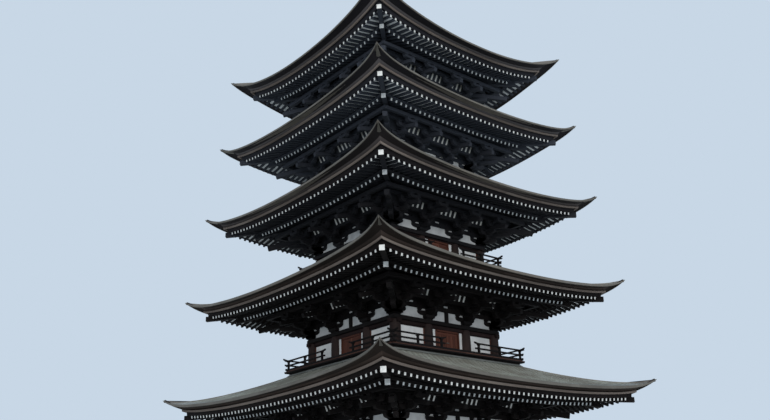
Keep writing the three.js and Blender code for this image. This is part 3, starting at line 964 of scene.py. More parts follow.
def eave_ceiling(s):
    pile = Pile()

    def strip(out, inside, height, thick, finish, length=2.4):
        corners = ((out, thick), (inside, thick), (inside, 0), (out, 0))
        straight_boards(pile, lambda u: stacked([(d, height(d, u) + lift) for d, lift in corners], u), out,
                        length, finish, step=0.4)

    def over_base(d, u):
        return s.row - BASE_ROW_DROP + 0.050 + BASE_SLOPE * (s.base_half - d) + s.soffit_lift(d, u)

    def over_flying(d, u):
        return s.row + 0.034 + FLYING_SLOPE * (s.row_half - d) + s.soffit_lift(d, u)

    def on_base_ends(d, u):
        return s.row + 0.013 + s.soffit_lift(s.base_half, u)

    # The boards over the base rafters are dark, as painted shade; those over the flying rafters are
    # limewashed.
    edge = s.base_half
    while edge > s.half - 0.05:
        strip(edge, max(edge - BOARD_WIDE + BOARD_GAP, s.half - 0.06), over_base, BOARD_THICK,
              "eave_board_cypress")
        edge -= BOARD_WIDE
    edge = s.row_half - 0.092
    while edge > s.base_half - 0.1:
        strip(edge, edge - BOARD_WIDE + BOARD_GAP, over_flying, BOARD_THICK, "limewashed_boards")
        edge -= BOARD_WIDE
    strip(s.base_half + 0.03, s.base_half - 0.07, on_base_ends, 0.082, DARK, 3.0)
    pile.make(f"{s.name}_eave_ceiling", "timber")


for s in storeys:
    eave_ceiling(s)

# %% [markdown]
# ## Bracket sets
# Over every column a large block carries arms that cross, the arms carry small blocks, and those
# carry the next arms, stepping out three times until the purlin is reached. Each arm is cut from a
# board with its lower corners rounded off, and the ends of the lowest arms keep a trace of limewash.
# A long tail rafter slopes out through the set. The set is built from these few shapes, placed by
# tier and by step.

# %% The shapes of a bracket set
STEPS = [0.39, 0.76, 1.13]
ARM_WIDE = 0.065
ARM_NOSE = 0.10
ARM_HIGH = 0.145
TIER_HIGH = 0.215
GREAT_HIGH = 0.14
FRIEZE_GAP = 0.09
THREE_BLOCKS = (-0.34, 0, 0.34)
CLOSE_BLOCKS = (-0.24, 0, 0.24)
ONE_BLOCK = (0,)
ARM_BACK = 0.2
TAIL_SLOPE = 0.28
TAIL_NOSE = 0.24
TAIL_BACK = 0.05


def arm_shape(back, front, high, half_width=ARM_WIDE, round_back=True, end=DARK):
    """An arm with rounded lower ends; its upright ends may have a finish of their own."""
    curve = min(0.2, 0.45 * (front + back))
    angles = np.linspace(0, math.pi / 2, 5)
    ahead = [(front - curve + curve * math.sin(a), 0.62 * high * (1 - math.cos(a))) for a in angles]
    behind = [(-x - back + front, z) for x, z in ahead[::-1]] if round_back else [(-back, 0.0)]
    outline = behind + ahead + [(front, high), (-back, high)]
    painted = [len(behind) + len(ahead) - 1]
    if round_back:
        painted.append(len(outline) - 1)
    return cut_from_board(outline, half_width, DARK, end, painted)


print("faces of one arm:", len(arm_shape(0.4, 0.4, 0.14).faces))

# %% Build the bracket sets of one storey
def bracket_sets(s):
    pile = Pile()
    k = s.scale
    arm = ARM_HIGH * k
    tier = TIER_HIGH * k
    first = s.plate + GREAT_HIGH * k
    second = first + tier
    third = second + tier
    block = bearing_block(0.085, tier - arm + 0.001)
    great = bearing_block(0.19 * min(1, s.radius / 0.17), GREAT_HIGH * k)
    columns = np.array([-s.half, -s.inner, s.inner, s.half])
    diagonal = (1, -1, 0)

    def on(x, out, z):
        return spots(x, s.half + out, z)

    def on_corner(out, z):
        return spots(s.half + out, s.half + out, z)

    def blocks(out, z, offsets):
        for offset in offsets:
            pile.place(block, on(columns + offset, out, z), OUTWARD)

    def crossing(half_length, out, z, high=arm, end=DARK):
        pile.place(arm_shape(half_length, half_length, high, end=end), on(columns, out, z), ALONG)

    def reaching(step, z):
        pile.place(arm_shape(ARM_BACK, step + ARM_NOSE, arm, round_back=False), on(columns, 0, z), OUTWARD)

    def ring(out, z, thick, tall):
        d = s.half + out
        straight_boards(pile, boxed(d + thick, d - thick, z, z + tall), d, 2.6, DARK)

    pile.place(great, on(columns[:3], 0, s.plate), OUTWARD)
    # First tier: crossing arms on the great block.
    crossing(0.42, 0, first, end="faded_limewash")
    reaching(STEPS[0], first)
    blocks(0, first + arm, THREE_BLOCKS)
    blocks(STEPS[0], first + arm, ONE_BLOCK)
    # Second tier: a beam on the wall line, an arm on the first step and an arm out to the second.
    ring(0, second, 0.06, arm)
    crossing(0.30, STEPS[0], second)
    reaching(STEPS[1], second)
    blocks(0, second + arm, THREE_BLOCKS)
    blocks(STEPS[0], second + arm, CLOSE_BLOCKS)
    blocks(STEPS[1], second + arm, ONE_BLOCK)
    # Frieze boards between the two beams leave only a short gap in the middle of each bay.
    frieze = bar((tier - arm) / 2 + 0.004, 0.0, 0.034, 0.004)
    middle = (s.inner + s.half) / 2
    for x0, x1 in ((-s.inner, -FRIEZE_GAP), (FRIEZE_GAP, s.inner), (s.inner, middle - FRIEZE_GAP),
                   (middle + FRIEZE_GAP, s.half), (-middle + FRIEZE_GAP, -s.inner),
                   (-s.half, -middle - FRIEZE_GAP)):
        pile.lay(frieze, on(x0, 0, second + (arm + tier) / 2), x1 - x0)
    # Third tier: beams on the wall line and the first step, an arm on the second, the tail rafter.
    ring(0, third, 0.06, arm)
    ring(STEPS[0], third, 0.055, arm)
    crossing(0.30, STEPS[1], third)
    blocks(STEPS[1], third + arm, CLOSE_BLOCKS)
    ring(STEPS[1], third + tier, 0.05, 0.10)
    tail_z = s.purlin_low - 0.22 * k - 0.075
    tail_high = tail_z + TAIL_SLOPE * (STEPS[2] - TAIL_BACK)
    tail_low = tail_z - TAIL_SLOPE * TAIL_NOSE
    pile.span(bar(0.062, -0.07, 0.07, 0.008), on(columns, TAIL_BACK, tail_high),
              on(columns, STEPS[2] + TAIL_NOSE, tail_low))
    # Under the purlin, an arm with two blocks on the end of each tail rafter.
    top_arm = 0.8 * arm
    purlin_arm = s.purlin_low - (tier - arm) - top_arm
    crossing(0.22, STEPS[2], purlin_arm, top_arm)
    blocks(STEPS[2], purlin_arm + top_arm, (-0.15, 0.15))
    # The same steps on the diagonal at each corner.
    for level, reach in ((first, STEPS[0]), (second, STEPS[1])):
        pile.place(arm_shape(ARM_BACK, reach * math.sqrt(2) + 0.11, arm, 0.075, round_back=False),
                   on_corner(0, level), diagonal)
        pile.place(block, on_corner(reach, level + arm), diagonal)
    pile.span(bar(0.075, -0.08, 0.08, 0.008), on_corner(TAIL_BACK, tail_high),
              on_corner(STEPS[2] + TAIL_NOSE, tail_low))
    pile.place(block, on_corner(STEPS[2], tail_z + 0.07), diagonal)
    pile.place(great, on_corner(0, s.plate), OUTWARD)
    # A short post stands between the sets over the doorways of the two lowest storeys.
    if s.i < 2:
        pile.stand(bar(0.08, 0.0, 0.10, 0.006), on(0.0, -0.04, s.plate), second - s.plate)
    pile.make(f"{s.name}_bracket_sets", "timber", f"{s.name}_brackets")


for s in storeys:
    bracket_sets(s)

# %% [markdown]
# ## Between the brackets
# Plaster fills the wall behind the brackets, and shows between their curved arms as pale panels. A
# narrow sloping ceiling, the coving, closes the gap between the first step and the second; it is
# dark, with a few narrow limewashed boards in the middle of each bay.

# %% Plaster, coving and ceilings between the brackets
COVING_PITCH = 0.2
ONE_LENGTH = 9.0


def between_brackets(s):
    pile = Pile()
    k = s.scale
    d = s.half

    def whole_side(section, reach, finish=DARK):
        straight_boards(pile, section, reach, ONE_LENGTH, finish, step=ONE_LENGTH)

    whole_side(boxed(d + 0.02, d - 0.03, s.plate + 0.001, s.plate + 0.80 * k), d, "shaded_lime_plaster")
    low = s.plate + 0.66 * k
    top = s.plate + 0.93 * k
    inner_d = d + STEPS[0] + 0.06
    outer_d = inner_d + 0.125
    whole_side(outline_of((outer_d, top), (outer_d - 0.03, top), (inner_d - 0.03, low), (inner_d, low)),
               d + 0.5)
    # Narrow limewashed boards show in the middle of each bay; the rest lies behind the brackets.
    side_bay = (s.inner + s.half) / 2
    beside = np.array([-1.5, -0.5, 0.5, 1.5]) * COVING_PITCH
    x = np.concatenate([np.arange(-2, 3) * COVING_PITCH, side_bay + beside, -side_bay + beside])
    start = spots(x, inner_d + 0.003, low + 0.01)
    way = spots(x, outer_d + 0.003, top - 0.01) - start
    pale = bar(0.033, -0.008, 0.006, 0.002, "white_limewash")
    pile.place(pale, start, way, up=(0, -1, 0.5), length=np.linalg.norm(way, axis=1))
    # Level ceilings join the beam on the first step to the wall, and the coving to the second step.
    beam_top = s.plate + (GREAT_HIGH + 2 * TIER_HIGH + ARM_HIGH) * k
    for out, inside, z in ((STEPS[0], 0.0, beam_top - 0.02), (STEPS[1] + 0.05, STEPS[0] + 0.15, top)):
        whole_side(boxed(d + out, d + inside, z, z + 0.025), d + out)
    pile.make(f"{s.name}_bracket_panels", "plaster")


for s in storeys:
    between_brackets(s)

# %% The eaves purlin
PURLIN_HALF = 0.072


def purlins(s):
    pile = Pile()
    mid = s.purlin_out - 0.075
    beam = bar(PURLIN_HALF, 0.0, s.purlin_top - s.purlin_low, 0.012)
    # Each beam runs through at one corner and stops against its neighbour at the other.
    pile.span(beam, spots(-mid - PURLIN_HALF, mid, s.purlin_low), spots(mid - 0.0725, mid, s.purlin_low))
    pile.make(f"{s.name}_eaves_purlin", "timber", f"{s.name}_purlin")


for s in storeys:
    purlins(s)

# %% [markdown]
# ## Columns, beams and walls
# The columns are round, turned from whole trunks, and slightly fuller below than above. A tie beam
# runs through their heads and ends in a short nose past each corner, and a flat plate lies on top.
# The wall panels are plaster between light frames; the middle bay holds a pair of doors.

# %% Columns with tie beams and plate
PLATE_THICK = 0.13
PLATE_HALF = 0.156


def column_shape(radius, high):
    """A round column with a softened head; its rings rise along x."""
    sides = 28
    levels = [(0.0, 1.0), (0.5 * high, 1.0), (high - 0.16, 0.96), (high - 0.07, 0.92), (high - 0.01, 0.82)]
    angles = np.arange(sides) * 2 * math.pi / sides
    rings = [[(x, radius * wide * math.cos(a), radius * wide * math.sin(a), 0) for a in angles]
             for x, wide in levels]
    return loft(rings, "column_cypress", smooth=True)


def columns_and_beams(s):
    pile = Pile()
    plate_low = s.plate - PLATE_THICK
    pile.stand(column_shape(s.radius, plate_low - s.floor),
               spots(np.array([-s.half, -s.inner, s.inner]), s.half, s.floor + HAIR))
    tie = bar(0.075, 0.0, plate_low - s.beam, 0.012, "beam_cypress")
    reach = s.half + s.radius + 0.06
    pile.span(tie, spots(-reach, s.half, s.beam), spots(reach, s.half, s.beam))
    pile.span(bar(PLATE_HALF, 0.0, PLATE_THICK - 0.001, 0.012),
              spots(-s.half - PLATE_HALF, s.half, plate_low), spots(s.half - 0.1565, s.half, plate_low))
    pile.make(f"{s.name}_columns", "timber", f"{s.name}_frame")


for s in storeys:
    columns_and_beams(s)

# %% Plaster walls in their frames
SILL_HIGH = 0.10
DOOR_POST = 0.16
# How far the door head lies below the tie beam.
HEAD_DROP = [0.5, 0.06, 0.06, 0.06, 0.06]


def door_half(s):
    return s.inner - s.radius - DOOR_POST


def door_head(s):
    return s.beam - HEAD_DROP[s.i]


def wall_panels(s):
    pile = Pile()

    def slab(x0, x1, z0, z1, finish, out=0.015):
        pile.lay(bar((z1 - z0) / 2, -0.035, out, 0.004, finish), spots(x0, s.half, (z0 + z1) / 2), x1 - x0)

    def both(x0, x1, z0, z1, finish, out=0.015):
        slab(x0, x1, z0, z1, finish, out)
        slab(-x1, -x0, z0, z1, finish, out)

    low = s.floor + SILL_HIGH
    high = s.beam
    w = door_half(s)
    both(s.inner, s.half, low, high, "lime_plaster")
    both(w, s.inner, low, high, "lime_plaster")
    # Thin frames of the panels, against the columns, the sill and the beam.
    for x in (s.inner + s.radius - 0.01, s.half - s.radius - 0.03):
        both(x, x + 0.03, low, high, "door_cypress", 0.035)
    both(s.inner, s.half, low, low + 0.05, "column_cypress", 0.04)
    both(s.inner, s.half, high - 0.03, high, "beam_cypress", 0.04)
    both(w - 0.03, w + 0.012, low, high, "door_cypress", 0.05)
    slab(-w, w, door_head(s), high, "door_cypress", 0.05)
    pile.make(f"{s.name}_wall_panels", "plaster", f"{s.name}_walls")


for s in storeys:
    wall_panels(s)

# %% [markdown]
# ## Doors
# A pair of board doors closes the middle bay. Each leaf is made of four upright boards with joints
# that show between them, held by a rail at its head and one at its foot. A paler stile covers the
# meeting edge, with a bronze latch across it. The sill is a heavy timber that runs right round the
# building.

# %% Board doors on their sill
DOOR_BOARDS = 4
STILE_HALF = 0.03


def board_doors(s):
    pile = Pile()
    w = door_half(s) - 0.034
    low = s.floor + SILL_HIGH
    high = door_head(s) - 0.004
    wide = (w - STILE_HALF) / DOOR_BOARDS
    x = STILE_HALF + wide * (np.arange(DOOR_BOARDS) + 0.5)
    boards = spots(np.concatenate([x, -x]), s.half, low)
    pile.stand(bar(wide / 2 - 0.003, -0.02, 0.012, 0.006, "door_cypress"), boards, high - low)
    stile = bar(STILE_HALF, -0.02, 0.026, 0.005, "door_stile_cypress")
    pile.stand(stile, spots(0.0, s.half, low), high - low)
    rail = bar(0.035, 0.0, 0.024, 0.004, "door_cypress")
    for z in (low + 0.05, high - 0.05):
        for side in (-1, 1):
            pile.lay(rail, spots(side * w / 2 - (w / 2 - 0.035), s.half, z), w - 0.07)
    latch = bar(0.012, 0.02, 0.045, 0.003, BRONZE)
    pile.lay(latch, spots(-0.06, s.half, low + 0.45 * (high - low)), 0.12)
    d = s.half
    sill = outline_of((d + 0.044, low - 0.012), (d + 0.032, low), (d - 0.064, low),
                      (d - 0.064, s.floor + 0.001), (d + 0.044, s.floor + 0.001))
    straight_boards(pile, sill, d, 3.0, "deck_cypress")
    pile.make(f"{s.name}_board_doors", "door_timber", f"{s.name}_doors")


for s in storeys:
    board_doors(s)

# %% [markdown]
# ## Balconies
# Each upper storey stands on a deck of boards that run out to a broad edge board, over a set-back
# base, and a low railing goes round it. The railing's three rails cross at the corners, and the top
# one turns up at its ends. Bent bars are lofted along a short path, so that the tip keeps its width.

# %% The deck boards
DECK_BOARD = 0.10
DECK_WIDE = 0.24
EDGE_WIDE = 0.16
SET_BACK = 0.13


def deck(s):
    pile = Pile()
    d = s.deck_half
    out = d - EDGE_WIDE
    count = int(out / DECK_WIDE)
    x = np.arange(-count, count + 1) * DECK_WIDE
    board = bar(DECK_WIDE / 2 - 0.003, -0.032, -0.002, 0.004, "deck_cypress", DARK)
    deep = np.maximum(s.half - 0.3, np.abs(x))
    keep = deep < out - 0.05
    pile.span(board, spots(x, deep, s.floor)[keep], spots(x, d - 0.002, s.floor)[keep])
    low = s.floor - DECK_BOARD
    seat = s.floor - DECK_UNDER
    edge = outline_of((d - 0.008, s.floor - 0.034), (out, s.floor - 0.034), (out, low), (d - 0.016, low),
                      (d - 0.008, low + 0.008))
    straight_boards(pile, edge, d, 2.4, DARK, slip=0.001)
    straight_boards(pile, boxed(d - SET_BACK, d - 0.3, seat, low), d - SET_BACK, 3.0, DARK)
    # A thin red moulding lies under the ends of the boards.
    trim = outline_of((d - 0.003, s.floor - 0.036), (d - 0.03, s.floor - 0.036),
                      (d - 0.03, s.floor - 0.058), (d - 0.003, s.floor - 0.056))
    straight_boards(pile, trim, d, 2.4, "deck_cypress")
    # A copper apron keeps the rain out where the roof meets the base; its darker copper is painted shade
    # under the deck.
    apron = outline_of((d - 0.129, seat + 0.045), (d - 0.129, seat - 0.01), (d - 0.06, seat - 0.03),
                       (d - 0.055, seat - 0.022))
    straight_boards(pile, apron, d - SET_BACK, 2.0, "washed_copper_sheet")
    # Inner boards close the floor under the walls.
    n = int(s.half / DECK_WIDE)
    y = np.arange(-n, n + 1) * DECK_WIDE
    starts = np.stack(np.broadcast_arrays(-s.half - 0.2, y, s.floor), axis=-1)
    pile.span(bar(0.117, -0.09, -0.052, 0.003, "deck_cypress"), starts, starts * np.array([-1, 1, 1]),
              turned=False)
    pile.make(f"{s.name}_deck", "timber", f"{s.name}_floor")


for s in storeys[1:]:
    deck(s)

# %% The balcony railings
RAIL_BACK = 0.11
RAIL_BEND = 0.22
RAIL_CURL = 2.2


def railing(s):
    pile = Pile()
    plane = s.deck_half - RAIL_BACK
    first = s.inner * 0.98
    start = s.inner * 0.76

    def bent(x0, x1, z, half_width, half_high, rise=0.0):
        """A rail on each side of the doorway, whose tips rise in a curve."""
        x = np.concatenate([np.linspace(x0, x0 + RAIL_BEND, 6), np.linspace(x1 - RAIL_BEND, x1, 6)])
        near = np.clip((x0 + RAIL_BEND - x) / RAIL_BEND, 0, 1)
        far = np.clip((x - x1 + RAIL_BEND) / RAIL_BEND, 0, 1)
        height = z + (rise * near ** RAIL_CURL + rise * far ** RAIL_CURL)
        for side in (1, -1):
            rings = np.stack([spots(side * x, plane - side * b * half_width, height + c * half_high)
                              for b, c in ((1, 1), (-1, 1), (-1, -1), (1, -1))], axis=1)
            pile.set_down(rings, grain_along(x, [0, 0.05, 0.1, 0.15]), loft(rings, DARK))

    bent(start, plane + 0.215, s.floor + 0.342, 0.026, 0.022, 0.034)
    bent(start + 0.03, plane + 0.15, s.floor + 0.182, 0.022, 0.024)
    bent(start + 0.01, plane + 0.12, s.floor + 0.030, 0.032, 0.028)
    x = np.array([first, (first + plane) / 2, plane])
    feet = spots(np.concatenate([x, -x[:2]]), plane, s.floor + 0.057)
    pile.stand(bar(0.032, -0.032, 0.032, 0.004), feet, 0.264)
    pile.place(bearing_block(0.05, 0.034), feet + np.array([0, 0, 0.23]), OUTWARD)
    # The rail along the deck passes in front of the doorway too.
    low_rail = bar(0.03, 0.001, 0.06, 0.006)
    pile.span(low_rail, spots(-start, plane, s.floor), spots(start, plane, s.floor))
    pile.make(f"{s.name}_balcony_railing", "timber", f"{s.name}_railing")


for s in storeys[1:]:
    railing(s)

# %% [markdown]
# ## Podium and steps
# The building stands on a stone podium: a base course, upright slabs between short posts, and cap
# stones that stand proud. Five treads rise to it on each side. Each stone is a solid of its own
# with eased edges, because the joints are what tells stonework from concrete.

# %% Cut stones with eased edges
def stone(pile, x0, x1, y0, y1, z0, z1, arris=0.012, turned=True):
    """One stone between two corners, with its edges above and below eased."""
    cx = (x0 + x1) / 2
    cy = (y0 + y1) / 2
    hx = (x1 - x0) / 2
    hy = (y1 - y0) / 2
    levels = [(z0, arris), (z0 + arris, 0), (z1 - arris, 0), (z1, arris)]
    rings = np.array([[(cx + a * (hx - e), cy + b * (hy - e), z) for a, b in SQUARE] for z, e in levels])
    pile.set_down(rings, rings[..., :2] + rings[..., 2:], loft(rings, "bush_hammered_granite"),
                  TURNS if turned else TURNS[:1])


def neighbours(line):
    """Each pair of neighbours along a line of joints."""
    return list(zip(line[:-1], line[1:]))


# %% The podium
JOINT = 0.004
CAP_HIGH = 0.16
CAP_WIDE = 0.55
COURSE_HIGH = 0.16
COURSE_FRONT = 0.02
COURSE_BACK = 0.32
POST_HALF = 0.12


def podium():
    pile = Pile()
    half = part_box("podium")[1].x
    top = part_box("podium")[1].z
    body = half - 0.09
    # Cap stones: on each side the corner stone runs through at one end.
    for a, b in neighbours(np.linspace(-half, half - CAP_WIDE, 8)):
        stone(pile, a + JOINT, b - JOINT, -half, -half + CAP_WIDE, top - CAP_HIGH, top)
    # Paving inside the cap stones, one course of square slabs after another.
    paved = half - CAP_WIDE
    grid = neighbours(np.linspace(-paved, paved, 11))
    for a, b in grid:
        for c, e in grid:
            stone(pile, a + JOINT, b - JOINT, c + JOINT, e - JOINT, top - 0.1, top - 0.001, 0.005, False)
    # Base course, then corner posts and slabs.
    for a, b in neighbours(np.linspace(-half + COURSE_FRONT, half - COURSE_BACK, 7)):
        stone(pile, a + JOINT, b - JOINT, -half + COURSE_FRONT, -half + COURSE_BACK, 0.0, COURSE_HIGH)
    posts = np.linspace(-body + POST_HALF, body - POST_HALF, 6)
    low = COURSE_HIGH + 0.001
    high = top - CAP_HIGH - 0.001
    for x in posts[:-1]:
        stone(pile, x - POST_HALF, x + POST_HALF, -body, -body + 0.3, low, high)
    for a, b in neighbours(posts):
        stone(pile, a + POST_HALF + JOINT, b - POST_HALF - JOINT, -body + 0.035, -body + 0.3, low, high)
    # Rubble fills the middle, just behind the joints.
    fill = body - 0.05
    stone(pile, -fill, fill, -fill, fill, 0.001, top - 0.03, 0.005, False)
    pile.make("podium_stones", "granite", "podium")


podium()

# %% The steps
STEP_COUNT = 5


def steps(side, turn):
    pile = Pile()
    low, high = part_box("steps_front")
    podium_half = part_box("podium")[1].x
    rise = high.z / STEP_COUNT
    tread = (-low.y - podium_half) / STEP_COUNT
    for n in range(STEP_COUNT):
        reach = podium_half + (STEP_COUNT - n) * tread
        for a, b in neighbours((low.x, -0.32, 0.32, high.x)):
            stone(pile, a + 0.003, b - 0.003, -reach, -podium_half - 0.001, n * rise + 0.001,
                  (n + 1) * rise, 0.01, False)
    pile.points = [points @ turn for points in pile.points]
    pile.make(f"steps_{side}_stones", "granite", f"steps_{side}")


for side, turn in zip(("front", "right", "back", "left"), TURNS):
    steps(side, turn)

# %% [markdown]
# ## The finial
# A metal finial crowns the top roof: a square box with a projecting lip, an inverted bowl, a lotus,
# a mast with nine rings, an openwork water flame, and two jewels. The real one is cast in bronze,
# in parts slipped over the mast. Turned parts are lofted from a profile; the flame is four fins of
# curling strands.

# %% Turned parts
# A turned part starts and ends this close to its axis.
CORE = 0.001


def swept(profile, sides):
    """A profile of (radius, height) points at each of a number of places round the axis."""
    angles = np.arange(sides) * 2 * math.pi / sides
    return np.array([[(r * math.cos(a), r * math.sin(a), z) for a in angles] for r, z in profile])


def turned_shape(profile, sides):
    """A turned part, with its profile given from the foot up."""
    return loft(swept(profile, sides), BRONZE, smooth=True)


def hoop_shape(profile, sides=48):
    """A ring with a hole, whose profile goes right round its metal."""
    rings = swept(profile, sides).transpose(1, 0, 2)
    size = len(profile)
    faces = []
    for a in range(sides):
        b = (a + 1) % sides
        for p in range(size):
            q = (p + 1) % size
            faces.append([a * size + p, b * size + p, b * size + q, a * size + q])
    return Shape(rings.reshape(-1, 3), faces, [BRONZE] * len(faces), True)


# %% The moulded box and the bowl
BOX_NECK = 0.76


def finial_foot():
    pile = Pile()
    low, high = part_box("finial_box")
    half = high.x
    tall = high.z - low.z
    # The box swells and narrows in mouldings below its projecting lip.
    levels = [(0.0, 0.85), (0.06, 0.85), (0.08, 0.80), (0.16, 0.80), (0.18, BOX_NECK), (0.74, BOX_NECK),
              (0.76, 0.80), (0.82, 0.80), (0.84, 0.92), (0.86, 0.97), (0.88, 1.0), (0.985, 1.0),
              (1.0, 0.985)]
    rings = [[(half * w * x, half * w * y, low.z + t * tall) for x, y in SQUARE] for t, w in levels]
    pile.on_axis(loft(rings, BRONZE))
    # Raised bars divide each face into two fields.
    strip = bar(0.03, 0.0, 0.014, 0.004, BRONZE)
    face = half * BOX_NECK
    feet = spots(np.array([-face + 0.03, 0, face - 0.03]), face, low.z + 0.18 * tall)
    pile.stand(strip, feet, 0.56 * tall)
    for t in (0.21, 0.71):
        pile.lay(strip, spots(-face, face, low.z + t * tall), 2 * face)
    pile.make("finial_moulded_box", "bronze", "finial_box")


finial_foot()


def finial_bowl():
    pile = Pile()
    low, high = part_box("finial_bowl")
    r = high.x
    dome_r = 0.965 * r
    dome_z = low.z + 0.07
    dome_high = high.z - low.z - 0.07
    profile = [(CORE, low.z), (0.94 * r, low.z), (r, low.z + 0.02), (r, low.z + 0.05), (dome_r, dome_z)]
    for t in np.linspace(0.08, 0.95, 12):
        profile.append((dome_r * math.cos(t * math.pi / 2), dome_z + dome_high * math.sin(t * math.pi / 2)))
    profile += [(0.3 * r, high.z), (CORE, high.z)]
    pile.on_axis(turned_shape(profile, 48))
    # Two raised bands cross the bowl like a cord.
    for share in (0.2, 0.5):
        radius = dome_r * math.cos(math.asin(share))
        z = dome_z + dome_high * share
        pile.on_axis(turned_shape([(radius - 0.02, z - 0.022), (radius + 0.012, z - 0.016),
                                   (radius + 0.012, z + 0.012), (radius - 0.03, z + 0.02)], 48))
    pile.make("finial_banded_bowl", "bronze", "finial_bowl")


finial_bowl()

# %% Lotus petals round the cup
PETALS = 8


def petal(middle, reach, top, wide_most, z0):
    """One petal, lofted from its root on the cup out and up to its tip."""
    rings = []
    for t in np.linspace(0, 1, 7):
        wide = wide_most * math.sin(math.pi * (0.16 + 0.84 * t) ** 0.8) + 0.012
        radius = 0.2 + (reach - 0.2) * t ** 0.8
        z = z0 + 0.05 + (top - z0 - 0.05) * t ** 1.7
        ring = []
        for side, lift in ((-1, 0.03), (0, -0.02), (1, 0.03), (0, 0.02)):
            out = radius - 0.03 * abs(side)
            a = middle + side * wide / max(radius, 0.2) / 1.3
            ring.append((out * math.cos(a), out * math.sin(a), z + lift))
        rings.append(ring)
    return loft(rings, BRONZE, smooth=True)


def finial_lotus():
    pile = Pile()
    low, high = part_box("finial_lotus")
    r = high.x
    z0 = low.z
    z1 = high.z
    pile.on_axis(turned_shape([(CORE, z0), (0.20, z0), (0.21, z0 + 0.05), (0.36, z0 + 0.15),
                               (0.5 * r + 0.10, z1 - 0.06), (0.5 * r + 0.06, z1 - 0.06), (0.30, z0 + 0.2),
                               (0.13, z0 + 0.15), (CORE, z0 + 0.15)], 40))
    # The petals of the second layer are smaller and stand between those of the first.
    for reach, top, phase in ((r, z1, 0.0), (0.9 * r, z1 - 0.03, 0.5)):
        for n in range(PETALS):
            pile.on_axis(petal((n + phase) * 2 * math.pi / PETALS, reach, top, 0.48 * r, z0))
    pile.make("finial_petals", "bronze", "finial_lotus")


finial_lotus()

# %% The mast with nine rings
RING_COUNT = 9
RING_SPACING = 0.55
RING_FIRST = 0.50
RING_RADIUS = 0.70
RING_SHRINK = 0.03
HUB = ((0.075, -0.16), (0.105, -0.12), (0.12, -0.06), (0.12, 0.06), (0.105, 0.12), (0.075, 0.16))
BELL = ((CORE, 0.0), (0.026, 0.0), (0.03, 0.0), (0.022, 0.03), (0.018, 0.06), (0.008, 0.075), (CORE, 0.08))


def finial_rings():
    pile = Pile()
    low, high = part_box("finial_mast_and_rings")
    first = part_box("finial_lotus")[1].z + RING_FIRST
    heights = [first + n * RING_SPACING for n in range(RING_COUNT)]
    mast = [(CORE, low.z), (0.085, low.z), (0.085, low.z + 0.2)]
    mast += [(r, z + rise) for z in heights for r, rise in HUB]
    mast += [(0.06, high.z - 0.01), (CORE, high.z)]
    pile.on_axis(turned_shape(mast, 24))
    spoke = bar(0.014, -0.022, 0.022, 0.004, BRONZE)
    for n, z in enumerate(heights):
        radius = RING_RADIUS - RING_SHRINK * n
        outer = radius * 0.985
        hoop = [(outer - 0.06, z - 0.03), (outer - 0.012, z - 0.045), (outer, z - 0.035),
                (outer, z + 0.035), (outer - 0.012, z + 0.045), (outer - 0.06, z + 0.03)]
        pile.on_axis(hoop_shape(hoop))
        pile.on_axis(hoop_shape([(0.34 * radius + r - outer, z + 0.6 * (h - z)) for r, h in hoop]))
        # Eight spokes, each with a small bell hanging near its end.
        for a in np.arange(8) * math.pi / 4 + (n % 2) * math.pi / 8:
            way = np.array([math.cos(a), math.sin(a), 0])
            pile.span(spoke, [way * 0.09 + [0, 0, z]], [way * (outer - 0.03) + [0, 0, z]], turned=False)
            bell = turned_shape([(r, h + z - 0.125) for r, h in BELL], 10)
            bell.points += way * (outer - 0.035)
            pile.on_axis(bell)
    pile.make("finial_ringed_mast", "bronze", "finial_mast_and_rings")


finial_rings()

# %% The openwork water flame and the jewels
# Each strand: where it starts and ends as shares of the height, its root and its half-width.
STRANDS = ((0.02, 0.34, 0.04, 0.05), (0.12, 0.52, 0.05, 0.045), (0.28, 0.68, 0.05, 0.04),
           (0.44, 0.83, 0.04, 0.035), (0.6, 0.97, 0.03, 0.03))
FIN_HALF = 0.014


def flame_edge(t):
    """Half-width of the flame at a share of its height."""
    return 0.02 + 0.44 * math.sin(math.pi * min(1, t ** 0.62)) * (1 - 0.35 * t)


def finial_flame():
    pile = Pile()
    low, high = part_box("finial_flame")
    tall = high.z - low.z

    def strand(t0, t1, root, thick):
        """One curling strand, from near the axis out and up to a point."""
        rings = []
        for t in np.linspace(0, 1, 11):
            share = t0 + (t1 - t0) * t
            out = root + (flame_edge(share) - root) * math.sin(0.5 * math.pi * t) ** 0.9
            out = min(out, high.x - 0.01)
            wide = thick * (1 - t) ** 0.6 + 0.006
            z = low.z + tall * share
            rings.append([(out - wide, -FIN_HALF, z), (out + wide * 0.4, -FIN_HALF, z + wide * 0.5),
                          (out + wide * 0.4, FIN_HALF, z + wide * 0.5), (out - wide, FIN_HALF, z)])
        return np.array(rings)

    for turn in TURNS:
        for numbers in STRANDS:
            pile.on_axis(loft(strand(*numbers) @ turn, BRONZE, smooth=True))
    pile.on_axis(turned_shape([(CORE, low.z), (0.06, low.z), (0.05, low.z + 0.3), (0.04, high.z - 0.02),
                               (CORE, high.z)], 16))
    pile.make("finial_water_flame", "bronze", "finial_flame")


finial_flame()


def ball(radius, middle, high, last, count):
    """Points up the side of a ball, from 60 degrees below its middle to a last angle above it."""
    angles = [math.radians(a) for a in np.linspace(-60, last, count)]
    return [(radius * math.cos(a), middle + high * math.sin(a)) for a in angles]


